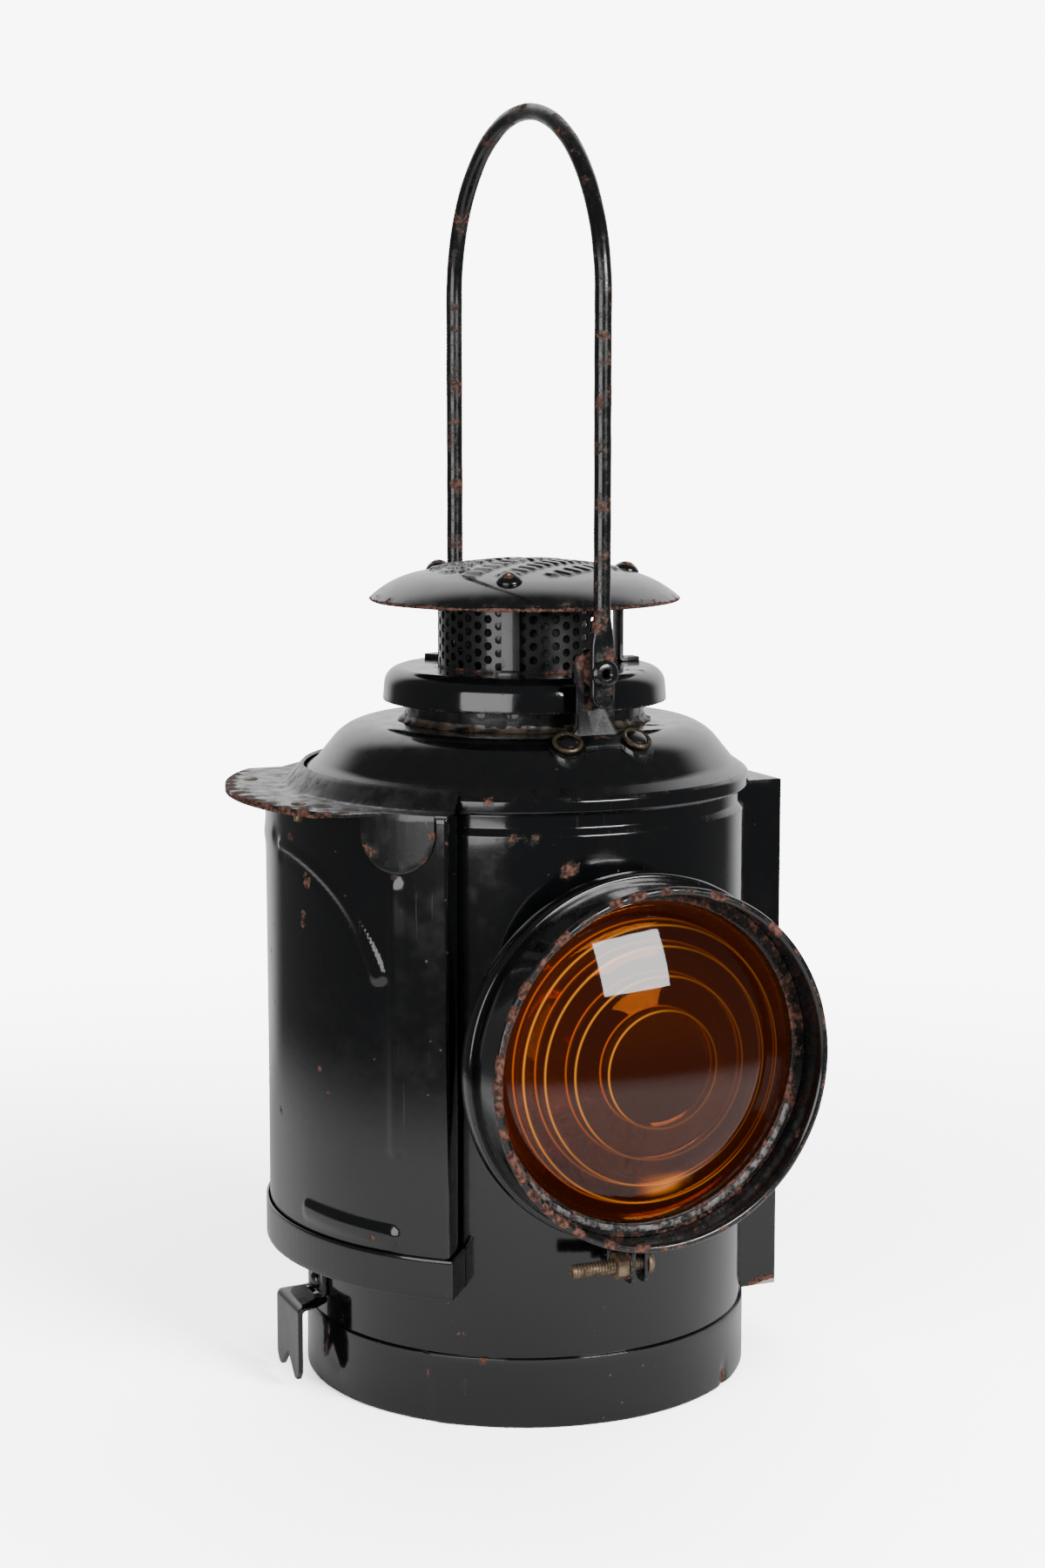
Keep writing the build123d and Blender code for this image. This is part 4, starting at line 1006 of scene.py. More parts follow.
# %% The screen's recipe
screen_r = screen_high.x
screen_tall = screen_high.z - screen_low.z
columns = 48
rows = 7
cell_w = 2 * math.pi * screen_r / columns
cell_h = screen_tall / rows
hole_r = 1.42
cell = hidden(perforated_cell(cell_w, cell_h, hole_r))
half_cell = hidden(plain_half(cell_w, cell_h))

r = Recipe("rolled_screen", Columns=columns, Rows=rows, Cell_Width=cell_w * MM, Cell_Height=cell_h * MM,
           Radius=screen_r * MM, Foot=screen_low.z * MM, Cell=cell, Half_Cell=half_cell, Material=sooty_black)
given_columns, given_rows, given_width, given_height, given_radius = (
    r.given(name) for name in ("Columns", "Rows", "Cell_Width", "Cell_Height", "Radius"))
grid = r.node("GeometryNodeMeshGrid", sockets={
    "Size X": (given_columns - 1) * given_width, "Size Y": (given_rows - 1) * given_height,
    "Vertices X": given_columns, "Vertices Y": given_rows})
index = Tap(r, r.node("GeometryNodeInputIndex").outputs[0])
column = r.math("FLOOR", index / given_rows)
row = index - column * given_rows
odd = r.math("MODULO", column, 2)
top_row = r.math("COMPARE", row, given_rows - 1, 0.5)
bottom_row = r.math("COMPARE", row, 0, 0.5)
shifted = r.node("GeometryNodeSetPosition", sockets={0: grid.outputs["Mesh"],
                                                     "Offset": r.vector(y=odd * given_height * 0.5)})


def cells_at(points, keep, cell_name, lift):
    """Instances of a cell where keep is 1, lifted by so many cell heights."""
    source = r.node("GeometryNodeObjectInfo", sockets={"Object": r.given(cell_name)})
    placed = r.node("GeometryNodeInstanceOnPoints", sockets={"Points": points, "Selection": keep,
                                                             "Instance": source.outputs["Geometry"]})
    moved = r.node("GeometryNodeTranslateInstances", sockets={0: placed.outputs[0],
                                                              "Translation": r.vector(y=given_height * lift)})
    return moved.outputs[0]


strip = r.node("GeometryNodeJoinGeometry")
for keep, cell_name, up in ((1 - odd * top_row, "Cell", 0.0), (odd * top_row, "Half_Cell", -0.25),
                            (odd * bottom_row, "Half_Cell", -0.75)):
    r.feed(strip.inputs[0], cells_at(shifted.outputs[0], keep, cell_name, up))
flat = r.node("GeometryNodeRealizeInstances", sockets={0: strip.outputs[0]})
width_place, height_place, _ = r.parts(r.node("GeometryNodeInputPosition").outputs[0])
angle = width_place / given_radius
around = r.vector(r.math("COSINE", angle) * given_radius, r.math("SINE", angle) * given_radius,
                  height_place + r.given("Foot") + given_rows * given_height * 0.5)
rolled = r.node("GeometryNodeSetPosition", sockets={0: flat.outputs[0], "Position": around})
welded = r.node("GeometryNodeMergeByDistance", sockets={0: rolled.outputs[0], "Distance": 1e-5})
r.finish(welded.outputs[0])
screen = r.run("perforated_screen")
for pattern in (cell, half_cell):
    bpy.data.objects.remove(pattern)
tidy(screen)
screen_sheet = 0.7
wall_of = screen.modifiers.new("wall", "SOLIDIFY")
wall_of.thickness = screen_sheet * MM
wall_of.offset = -1
applied(screen)
settle(screen, 0.10, 9, 1)
wear(screen, rings=[(screen_r, ring_high.z, 1.6, 0.50)], base=0.10)
fit(shaded(screen), None, "chimney_screen")
print("holes", columns * rows - columns // 2)

# %% [markdown]
# ## A dark sleeve
# The screen's holes show only dark behind them, partly soot and partly shade, so a plain dark tube stands
# inside the screen, from the neck's foot to just under the cap: painted shade for the chimney's dark inside.

# %% Dark sleeve behind the screen, painted shade for the holes
sleeve_r = 21.0
sleeve_line = [complex(sleeve_r, neck_low.z), complex(sleeve_r, cap_height(sleeve_r) - 1.3)]
# Painted shade: a sooty dark tube that keeps the holes dark, where the real darkness is the chimney's shade.
shade_sleeve = lathe("soot_sleeve", sheet_outline(sleeve_line, 0.6), turns=72)
fit(shade_sleeve, sooty_black, rides="lamp", slot=slots["chimney_screen"])

# %% [markdown]
# ## Rivets
# Every rivet of a kind is the same turned shape, so one is made, and a small recipe repeats it wherever the
# lamp has one. Each place is a point with a direction, stored on the point as `aim`, and the instance is
# turned so that its own upright follows it. There are three pointed rivets on the cap, four large flat ones
# on the handle's feet, two flush ones in the brim, and one round head on the hook.

# %% Repeating a part at places
def repeated(name, part, places, finish):
    """Copies of a part at (point, direction) places, as one plain piece. The part is used up."""
    mesh = bpy.data.meshes.new(name)
    mesh.from_pydata([tuple(c * MM for c in point) for point, _ in places], [], [])
    aim = mesh.attributes.new("aim", "FLOAT_VECTOR", "POINT")
    aim.data.foreach_set("vector", [c for _, direction in places for c in direction])
    r = Recipe(name + "_recipe", Part=hidden(part), Material=finish)
    direction = r.node("GeometryNodeInputNamedAttribute", {"data_type": "FLOAT_VECTOR"}, {"Name": "aim"})
    turn = r.node("FunctionNodeAlignRotationToVector", {"axis": "Z"}, {"Vector": direction.outputs[0]})
    source = r.node("GeometryNodeObjectInfo", sockets={"Object": r.given("Part")})
    placed = r.node("GeometryNodeInstanceOnPoints", sockets={"Points": r.inside.outputs["Geometry"],
                    "Instance": source.outputs["Geometry"], "Rotation": turn.outputs[0]})
    r.finish(placed.outputs[0])
    piece = r.run(name, mesh)
    bpy.data.objects.remove(part)
    return shaded(piece)


def normal_on_lid(x, y):
    """Where the lid's outer face is under a point, and which way it faces."""
    start = Vector((x, y, dome_high.z + 20)) * MM
    found, point, normal, _ = lid.ray_cast(start, Vector((0, 0, -1)))
    assert found
    return point / MM, normal


# %% Pointed rivets on the cap
cone = [0 - 1.0j, 4.0 - 1.0j, 4.4 + 0.1j, 4.3 + 0.8j, 3.5 + 1.8j, 2.2 + 2.7j, 0.9 + 3.2j, 0 + 3.3j]
slope = math.asin(37.5 / ball_r)
places = [(on_case(b, 37.7, cap_height(37.0) - 0.45), on_case(b, math.sin(slope), math.cos(slope)))
          for b in strap_bearings]
cap_studs = repeated("cap_studs", lathe("stud", dense(cone, 0.6), turns=28), places, handled_black)
wear(cap_studs, base=0.10, spots=[(p + d * 3.0 + Vector((-0.8, -1.4, 0)), 1.6, 1.5) for p, d in places])
fit(cap_studs, None, "cap_rivets")

# %% Large flat rivets on the handle's feet
foot_x, foot_y, foot_lift = 12.2, 59.5, 1.95
feet = []
for y in (-foot_y, foot_y):
    for x in (-foot_x, foot_x):
        point, normal = normal_on_lid(x, y)
        feet.append((point + normal * foot_lift, normal))
washer = [complex(5.0, 0), complex(5.05, 0.5), complex(4.5, 0.95), complex(3.7, 0.75), complex(3.45, 0.3),
          complex(3.3, 0.3), complex(0, 0.3), complex(0, -0.2), complex(5.0, -0.2)]
button = [0.2j, complex(3.35, 0.2), complex(3.3, 0.7), complex(2.7, 1.15), complex(1.5, 1.45), 1.55j]
foot_rings = repeated("foot_rivet_rings", lathe("ring", dense(washer, 0.5), turns=40), feet, ring_brass)
foot_buttons = repeated("foot_rivet_heads", lathe("button", dense(button, 0.5), turns=36), feet,
                        handled_black)
wear(foot_buttons, base=0.14)
fit(foot_rings, None, "bracket_rivets")
fit(foot_buttons, None, rides="lamp", slot=slots["bracket_rivets"])

# %% Rivets in the brim and on the hook
brim_top = span("brim_rivets")[1].z
brim_rivet_r, brim_rivet_turn = 93.5, 18.5
brim_places = [(on_case(door_bearing + turn, brim_rivet_r, brim_top - 0.5), Vector((0, 0, 1)))
               for turn in (-brim_rivet_turn, brim_rivet_turn)]
flush = [complex(0, -5.6), complex(1.5, -5.6), complex(1.7, -5.2), complex(1.55, -3.6), complex(1.55, -1.0),
         complex(2.7, -0.6), complex(2.7, 0.0), complex(2.1, 0.4), complex(0, 0.5)]
brim_studs = repeated("brim_studs", lathe("flush", dense(flush, 0.6), turns=28), brim_places, tan_steel)
fit(brim_studs, None, "brim_rivets")

hook_rivet_low, hook_rivet_high = span("hook_rivet")
round_head = [complex(3.35 * math.cos(a), 1.75 * math.sin(a)) for a in fan(0, math.pi / 2, 8)]
hook_place = [(on_case(-93, case_r + 1.65, (hook_rivet_low.z + hook_rivet_high.z) / 2), on_case(-93, 1, 0))]
hook_stud = repeated("hook_stud", lathe("round", dense(round_head + [-1.0j, 3.35 - 1.0j], 0.5), turns=30),
                     hook_place, handled_black)
wear(hook_stud, base=0.15)
fit(hook_stud, None, "hook_rivet")
print("rivets", len(places), len(feet), len(brim_places), len(hook_place))

# %% [markdown]
# ## The bail and its pivots
# The bail is one length of wire with its ends hammered flat. It is lofted: a section rides along the path,
# round on the arch and changing to a flat blade near each pivot, and the blade's width follows a half
# circle at its tip. The pivot hole is then cut through both blades. Years of being carried have worn the
# paint through in patches.

# %% Bail
wire_r, blade_x, blade_y = 2.8, 4.0, 1.7
pin_hole_r = 2.45
arch_r = (bail_high.y - bail_low.y) / 2 - wire_r
arch_z = bail_high.z - wire_r - arch_r
blade_low = bail_low.z


def blade_share(z):
    """How flat the wire is at a height: 1 in the blade, 0 in the round wire."""
    t = min(max((z - (pivot_z + 8)) / 12, 0), 1)
    return 1 - t * t * (3 - 2 * t)


def bail_section(z):
    """Half width, half thickness and squareness of the wire's section at a height."""
    flat = blade_share(z)
    width = wire_r + (blade_x - wire_r) * flat
    from_tip = z - blade_low
    if from_tip < blade_x:
        width = math.sqrt(max(blade_x**2 - (blade_x - from_tip) ** 2, 0.01))
    return width, wire_r + (blade_y - wire_r) * flat, flat


def bail_path():
    """Points up one leg, over the arch and down the other, with the section's inward direction."""
    rise = [blade_low + 0.02 + blade_x * (1 - math.cos(a)) for a in fan(0, math.pi / 2, 8)]
    rise += list(np.arange(blade_low + blade_x + 1.5, pivot_z + 24, 1.5))
    rise += list(np.arange(pivot_z + 26, arch_z, 3.0))
    leg = [(Vector((0, -arch_r, z)), Vector((0, 1, 0))) for z in rise]
    over = [(Vector((0, -arch_r * math.cos(a), arch_z + arch_r * math.sin(a))),
             Vector((0, math.cos(a), -math.sin(a)))) for a in fan(0, math.pi, 72)]
    back = [(Vector((0, arch_r, p.z)), Vector((0, -1, 0))) for p, _ in reversed(leg)]
    return leg + over + back


def bail_mesh(around=28):
    points, faces = [], []
    path = bail_path()
    for here, inward in path:
        width, thick, flat = bail_section(here.z)
        power = 1 - 0.55 * flat
        for a in fan(0, 2 * math.pi, around)[:-1]:
            c, s = math.cos(a), math.sin(a)
            x = math.copysign(abs(c) ** power, c) * width
            y = math.copysign(abs(s) ** power, s) * thick
            points.append(here + Vector((x, 0, 0)) + inward * y)
    for i in range(len(path) - 1):
        a, b = i * around, (i + 1) * around
        faces += [(a + k, a + (k + 1) % around, b + (k + 1) % around, b + k) for k in range(around)]
    last = (len(path) - 1) * around
    faces += [tuple(reversed(range(around))), tuple(last + k for k in range(around))]
    return piece_from("bail_wire", points, faces)


bail = bail_mesh()
settle(bail, 0.13, 9, 12)
pin_hole = lathe("pin_hole", [-80j, pin_hole_r - 80j, pin_hole_r + 80j, 80j], turns=40)
turned(pin_hole, math.pi / 2, "X", (0, 0, pivot_z))
cut(bail, pin_hole)
bail_spots = [(3, 250, 7, 0.55), (-2, 262, 6, 0.5), (2, 281, 8, 0.5), (0, 300, 9, 0.42), (-2, 317, 7, 0.48),
              (1, 334, 10, 0.42), (0, 352, 8, 0.40)]
wear(bail, base=0.26,
     spots=dots(*((x, side * arch_r, z, *rest) for x, z, *rest in bail_spots for side in (-1, 1)))
     + dots(*((0, arch_r * math.cos(a), arch_z + arch_r * math.sin(a), 9, 0.40)
              for a in (0.5, 1.1, 1.6, 2.1, 2.6))))
fit(bail, handled_black, "bail")
print("arch radius", round(arch_r, 1))

# %% Pivot rivets: a turned head with a bright rim and a hole
def pivot_stud(node, name, side):
    low, high = span(node)
    outer = abs(low.y if side < 0 else high.y)
    reach = high.y - low.y
    back = outer - reach
    hollow_r, shank, tail_r, head_r = 1.3, 2.35, 3.6, 4.6
    profile = rounded([(hollow_r, back), (tail_r, back, 0.3), (tail_r, back + 1.2, 0.4), (shank, back + 1.3),
                       (shank, outer - 2.2), (head_r - 0.1, outer - 2.2, 0.2), (head_r, outer - 1.1, 0.8),
                       (3.3, outer - 0.25, 0.9), (1.9, outer - 0.05, 0.3), (hollow_r, outer - 0.8)], steps=4)
    stud = lathe(name, dense(profile, 0.6), turns=44)
    turned(stud, side * -math.pi / 2, "X", (0, 0, pivot_z))
    wear(stud, base=0.24)
    return fit(stud, handled_black, node)


pivot_stud("pivot_rivet_front", "pivot_stud_front", -1)
pivot_stud("pivot_rivet_rear", "pivot_stud_rear", 1)

# %% Brackets and washers
for node in ("handle_bracket_front", "handle_bracket_rear"):
    bracket = eased(node, 0.45, segments=3)
    side = -1 if node.endswith("front") else 1
    wear(bracket, base=0.20, spots=dots(
        (-5, side * 55, pivot_z + 3, 4.5, 0.66), (0, side * 55, pivot_z + 8, 3.5, 0.6),
        (7, side * 56, pivot_z - 3, 2.5, 0.5), (0, side * 58, dome_high.z - 1, 5, 0.30)))
    fit(bracket, handled_black, node)
simple("pivot_washers", handled_black, 0.2, worn=0.5)

# %% [markdown]
# ## The door
# Seen from above, the door is one line: a lip, a side wall, a long arc, a wall and a lip. The sheet is that
# line given a thickness and drawn upwards. The ridges pressed into it are then raised by a rule: each ridge
# is a line of a few points on the unrolled panel, and a point on the skin rises by how near it is to that
# line. Ridges made this way have the soft feet of a real pressing, which a sharp box stuck on the face
# would not.

# %% Door sheet
door_r = 88.5
lip_r = 77.8
door_half = 53.7


def polar(radius, bearing):
    return cmath.rect(radius, math.radians(bearing))


arc_half = door_half - 1.8


def corner(point, radius=0.0):
    return (point.real, point.imag, radius)


def door_plan():
    """The door's outer line from above, modelled on +X."""
    lip_turn = math.degrees(4.6 / lip_r)
    start = [corner(polar(lip_r, -door_half + lip_turn)), corner(polar(lip_r, -door_half), 0.9),
             corner(polar(door_r, -door_half), 1.6)]
    middle = [corner(polar(door_r, b)) for b in np.linspace(-arc_half, arc_half, 150)]
    end = [corner(polar(door_r, door_half), 1.6), corner(polar(lip_r, door_half), 0.9),
           corner(polar(lip_r, door_half - lip_turn))]
    return rounded(start + middle + end, steps=5)


def standing_sheet(name, line, thick, low, high, step, ease=0.25):
    """A sheet that stands on a line seen from above, thick to its left, with its edges rolled over."""
    inner = [p + n * thick for p, n in zip(line, normals(line))]
    heights = np.linspace(low, high, round((high - low) / step) + 1)
    count = len(line)
    points = [(p.real, p.imag, z) for z in heights for p in line + inner]
    faces = []
    for i in range(len(heights) - 1):
        a, b = 2 * count * i, 2 * count * (i + 1)
        for k in range(count - 1):
            faces.append((a + k, a + k + 1, b + k + 1, b + k))
            faces.append((a + count + k + 1, a + count + k, b + count + k, b + count + k + 1))
        faces.append((a + count, a, b, b + count))
        faces.append((a + count - 1, a + 2 * count - 1, b + 2 * count - 1, b + count - 1))
    for k in range(count - 1):
        for row, way in ((0, -1), (2 * count * (len(heights) - 1), 1)):
            quad = (row + k, row + k + 1, row + count + k + 1, row + count + k)
            faces.append(quad[::way])
    return bevelled(piece_from(name, points, faces), ease, 50)


# %% Ridges pressed in the door
def near_line(along, height, line):
    """Distance, in millimetres, from points on the unrolled panel to a line of points."""
    best = np.full(along.shape, 1e9)
    for (x0, z0), (x1, z1) in zip(line, line[1:]):
        dx, dz = x1 - x0, z1 - z0
        t = np.clip(((along - x0) * dx + (height - z0) * dz) / (dx * dx + dz * dz), 0, 1)
        best = np.minimum(best, np.hypot(along - x0 - t * dx, height - z0 - t * dz))
    return best


def pressed(distance, top, foot):
    """A ridge with a flat top and soft sides: 1 up to the top's half width, 0 past the foot's."""
    t = np.clip((foot - distance) / (foot - top), 0, 1)
    return t * t * (3 - 2 * t)


def curve_through(points, steps=14):
    """A smooth curve through three points on the unrolled panel."""
    (x0, z0), (x1, z1), (x2, z2) = points
    cx, cz = 2 * x1 - (x0 + x2) / 2, 2 * z1 - (z0 + z2) / 2
    out = []
    for k in range(steps + 1):
        t = k / steps
        a, b, c = (1 - t) ** 2, 2 * t * (1 - t), t * t
        out.append((a * x0 + b * cx + c * x2, a * z0 + b * cz + c * z2))
    return out


def unrolled(bearing, height):
    """A point on the panel as (distance round, height)."""
    return (math.radians(bearing) * door_r, height)


ridge_rise = 0.76
upright = [unrolled(-52.3, 94), unrolled(-52.3, 180)]
foot = [unrolled(-78.5, 66.5), unrolled(-53.5, 65.0)]
crease = curve_through([unrolled(-90.3, 187), unrolled(-69.3, 177.0), unrolled(-56.4, 151)])
far_side = [unrolled(-132, 80), unrolled(-132, 183), unrolled(-96, 189)]


def door_rise(bearing, height):
    """The ridges and a broad dish between them."""
    b = np.where(bearing > 60, bearing - 360, bearing)
    along = np.radians(b) * door_r
    face = 1.0 * (np.abs(b - door_bearing) < door_half - 1.5)
    swell = 0.2 + 1.5 * np.clip((187 - height) / 38, 0, 1)
    ridges = ridge_rise * pressed(near_line(along, height, upright), 0.9, 3.2)
    ridges += ridge_rise * pressed(near_line(along, height, foot), 1.4, 4.2)
    ridges += ridge_rise * pressed(near_line(along, height, crease), swell, swell + 2.1)
    ridges -= 0.45 * bumped(near_line(along, height, [(x + 1.5, z - 3.4) for x, z in crease]), 2.2)
    ridges += 0.45 * bumped(near_line(along, height, far_side), 3.0)
    dish = -0.35 * bumped(b + 88, 24) * bumped(height - 125, 55)
    return face * (ridges + dish)


door_sheet = 0.9
panel = standing_sheet("door_sheet", door_plan(), door_sheet, door_low.z + 0.05, door_high.z - 0.05, 1.25)
swing(panel, door_bearing)
press(panel, door_rise)
settle(panel, 0.05, 30, 15)
door_edge = door_bearing + door_half
wear(panel, base=0.02, rings=[(door_r, door_low.z, 1.0, 0.36)],
     spots=marks(door_r, (-77.7, 176.8, 2.4, 0.95), (-78.6, 179.5, 1.6, 0.8), (-79.3, 166.3, 2.0, 0.95),
                 (-79.6, 162.5, 1.6, 0.85), (-73.8, 116.1, 1.5, 0.9), (-70.9, 108.5, 1.0, 0.9),
                 (-53.4, 128.4, 0.9, 0.6), (-52, 183, 1.6, 0.52), (-85, 190, 4.0, 0.42), (-92, 96, 3.0, 0.46),
                 (-58, 64, 2.2, 0.5), (-66, 140, 1.4, 0.5))
     + marks(door_r - 0.4, *((door_edge, z, 1.2, 0.5) for z in (64, 71, 90, 118, 160, 176, 195)))
     + scratch((-100.4, 151), (-91.9, 109), door_r, 0.7, 0.58, count=60)
     + scratch((-70, 172), (-60, 178), door_r, 0.6, 0.40))
fit(panel, gloss_black, "door_panel")

# %% Door top, second layer, sill and guides
for node, finish, width in (("door_hood", brim_black, 0.35), ("brim_stiffener", brim_black, 0.3),
                            ("door_sill", gloss_black, 0.3), ("door_guide_front", gloss_black, 0.2),
                            ("door_guide_rear", gloss_black, 0.2)):
    piece = finer(eased(node, width), 3)
    low, high = span(node)
    if node == "door_hood":
        brim_z = brim_top - 0.5
        wear(piece, base=0.14,
             spots=marks(101.5, *((door_bearing + b, brim_z - 0.5, 5.0, 0.60) for b in range(-30, 31, 5)))
             + marks(96, (door_bearing + 24, brim_z, 9, 0.42), (door_bearing + 33, brim_z - 0.8, 1.8, 1.5))
             + marks(89.5, (-58, 190, 5, 0.42), (-43.5, 197, 3, 0.6), (-50, 186, 2.4, 0.55),
                     (-44.5, 189, 2.2, 0.55)))
    elif node == "brim_stiffener":
        wear(piece, base=0.62)
    elif node == "door_sill":
        wear(piece, rings=[(high.x, high.z, 1.0, 0.34)],
             spots=marks(82, (-38, low.z + 1, 3.0, 0.5)) + marks(88, (-39, high.z - 1, 1.5, 0.5)))
    fit(piece, finish, node)

# %% [markdown]
# ## Lens, hood and clamp
# These all lie round the lens axis, so they are turned round Z like the rest and then swung forward. The
# lens is one solid of glass: a smooth dome in front, and behind it steps whose faces lean, so that each
# ring throws its light forward. The hood's front edge is wired: the sheet is rolled round a stiff wire,
# which shows as a bead.

# %% Lens
flange_r = (lens_high.x - lens_low.x) / 2
lens_front = -lens_low.y
visible_r = 52.0
bulge = 12.5
flange_thick, flange_ease = 6.5, 0.4
step_root, step_crest, eye_extra = 8.0, 5.2, 1.8
land = lens_front - bulge
dome_ball = (visible_r**2 + bulge**2) / (2 * bulge)


def lens_face(radius):
    """How far forward the outer face is at a radius."""
    return land + bulge - dome_ball + math.sqrt(dome_ball**2 - radius**2)


def lens_outline():
    """The lens in section, from the apex out over the front and back in over the steps."""
    front = [complex(visible_r * k / 40, lens_face(visible_r * k / 40)) for k in range(41)]
    back = land - flange_thick
    rim = [complex(flange_r - flange_ease, land), complex(flange_r, land - flange_ease),
           complex(flange_r, back + flange_ease), complex(flange_r - flange_ease, back), complex(49.8, back)]
    steps = []
    edges = [0.0, *ring_circles, 49.6]
    for inner, outer in reversed(list(zip(edges, edges[1:]))):
        root = lens_face(outer) - step_root if outer < 49 else back
        top = lens_face(inner) - step_crest - (eye_extra if inner == 0 else 0)
        steps += [complex(outer - 0.25 - (outer - inner - 0.5) * k / 8,
                          root + (top - 2.6 - root) * (k / 8) ** 1.4) for k in range(9)]
    return front + rim + steps + [complex(0, steps[-1].imag)]


lens = face_forward(lathe("signal_lens", lens_outline(), turns=216))
fit(lens, amber, "lens")
print("lens front", round(lens_front, 2), "edge", round(land, 2))

# %% Hood with its wired edge
hood_in, hood_sheet, wired_r = 56.6, 1.0, 1.45
hood_out = hood_in + hood_sheet
bead_y = -hood_low.y - 1.5
bead_centre = complex(hood_in + hood_sheet / 2, bead_y)
roll = [bead_centre + wired_r * cmath.exp(1j * a)
        for a in np.linspace(math.radians(-68), math.radians(248), 18)]
hood_outline = [complex(hood_in, -hood_high.y), complex(hood_out, -hood_high.y)] + roll
hood = face_forward(lathe("lens_hood_skin", dense(hood_outline, 2.2), turns=240))
settle(hood, 0.10, 14, 21)
chipped = [148, 156, 172, 180, 186, 194, 203, 210, 217, 224, 231, 238, 250, 262, 108, 100, 90, 72, 128, 48]
chip_r = 57.2
rim_chips = dots(*((chip_r * math.cos(a), -bead_y - 1.2, lens_z + chip_r * math.sin(a), 3.6, 0.70)
                   for a in np.radians(chipped)))
flecks = ((-1.31, 5, 1.42), (-1.08, 8, 0.6), (-0.87, 5, 1.42), (-0.70, 9, 0.6), (-0.49, 4, 1.42),
          (-1.48, 7, 0.6), (-0.95, 11, 1.42), (-0.60, 7, 0.6))
inside = dots(*((56 * math.cos(a), -bead_y + deep, lens_z + 56 * math.sin(a), 1.2, strength)
                for a, deep, strength in flecks))
wear(hood, about="lens", rings=[(57.4, bead_y + 1.3, 1.1, 0.40)], spots=rim_chips + inside)
fit(hood, handled_black, "lens_hood")

# %% Clamp band with its lugs
clamp_low, clamp_high = span("hood_clamp")
clamp_out = clamp_high.z - lens_z
clamp_in = hood_out + 0.05
back_y, front_y = -clamp_high.y, -clamp_low.y
gap_half = math.degrees(1.6 / clamp_out)
middle = (back_y + front_y) / 2
half_w = (front_y - back_y) / 2
domed = [complex(clamp_in + 0.9 + (clamp_out - clamp_in - 0.9) * math.cos(a) ** 0.55,
                 middle + half_w * math.sin(a))
         for a in np.linspace(-1.5, 1.5, 15)]
section = [complex(clamp_in, back_y + 0.05)] + domed + [complex(clamp_in, front_y - 0.05)]
clamp = lathe("clamp_band", dense(section, 1.2), turns=220, start=gap_half - 90, arc=360 - 2 * gap_half)
face_forward(clamp)


def lug(side):
    """One ear of the clamp: a small plate, rounded below."""
    half, low, high = half_w - 0.05, clamp_low.z, lens_z - clamp_in - 0.4
    outline = rounded([(middle - half, high), (middle - half, low, 2.4), (middle + half, low, 2.4),
                       (middle + half, high)])
    near, thick = 1.6, 1.45
    points = [(side * (near + t * thick), -p.real, p.imag) for t in (0, 1) for p in outline]
    count = len(outline)
    faces = [(k, (k + 1) % count, count + (k + 1) % count, count + k) for k in range(count)]
    faces += [tuple(range(count)), tuple(count + k for k in reversed(range(count)))]
    return bevelled(piece_from("lug", points, faces), 0.25, 30)


joined(clamp, lug(-1), lug(1))
settle(clamp, 0.08, 10, 30)
wear(clamp, about="lens", rings=[(clamp_out, front_y, 1.2, 0.34), (clamp_out, back_y, 1.2, 0.34)],
     spots=dots((-59.5, -front_y + 2, lens_z + 1, 1.4, 0.64), (-58.6, -front_y + 1, lens_z - 6, 1.4, 0.62),
                (-57.8, -front_y, lens_z - 16, 1.6, 0.55), (0, -86, clamp_low.z + 3, 5, 0.60),
                (-30, -86, lens_z + 50, 2, 0.5)))
fit(clamp, gloss_black, "hood_clamp")

# %% Ring and putty in front of the lens
simple("lens_ring", handled_black, 0.25, worn=0.40)
putty_r, putty_y = 54.9, land + 1.05
bead = [complex(putty_r - 1.5 * (1 - math.cos(a)), putty_y + 0.7 * math.sin(a))
        for a in np.linspace(0, math.pi / 2, 6)]
putty_outline = [complex(putty_r, putty_y)] + bead[1:] + [complex(53.1, land + 1.4), complex(52.9, putty_y)]
line_of_putty = face_forward(lathe("putty_line", dense(putty_outline, 0.6), turns=300, start=200, arc=140))
settle(line_of_putty, 0.30, 2.8, 9)
fit(line_of_putty, putty, rides="lamp", slot=slots["lens_ring"])
simple("lens_socket", gloss_black, 0.25, worn=0.15)
simple("lens_gasket", felt, 0.2)

# %% [markdown]
# ## The clamp's bolt
# A thread is a rule, so Geometry Nodes can draw it: take a flat grid, roll it into a rod, and let the
# radius follow a saw of (distance along + share of a turn). The rolled grid closes exactly, because one
# turn round moves the saw on by one pitch.

# %% Thread recipe
bolt_low, bolt_high = span("clamp_bolt")
bolt_z = (bolt_low.z + bolt_high.z) / 2
bolt_y = (bolt_low.y + bolt_high.y) / 2
shank_r = 2.38
thread_pitch, thread_depth = 1.06, 0.46


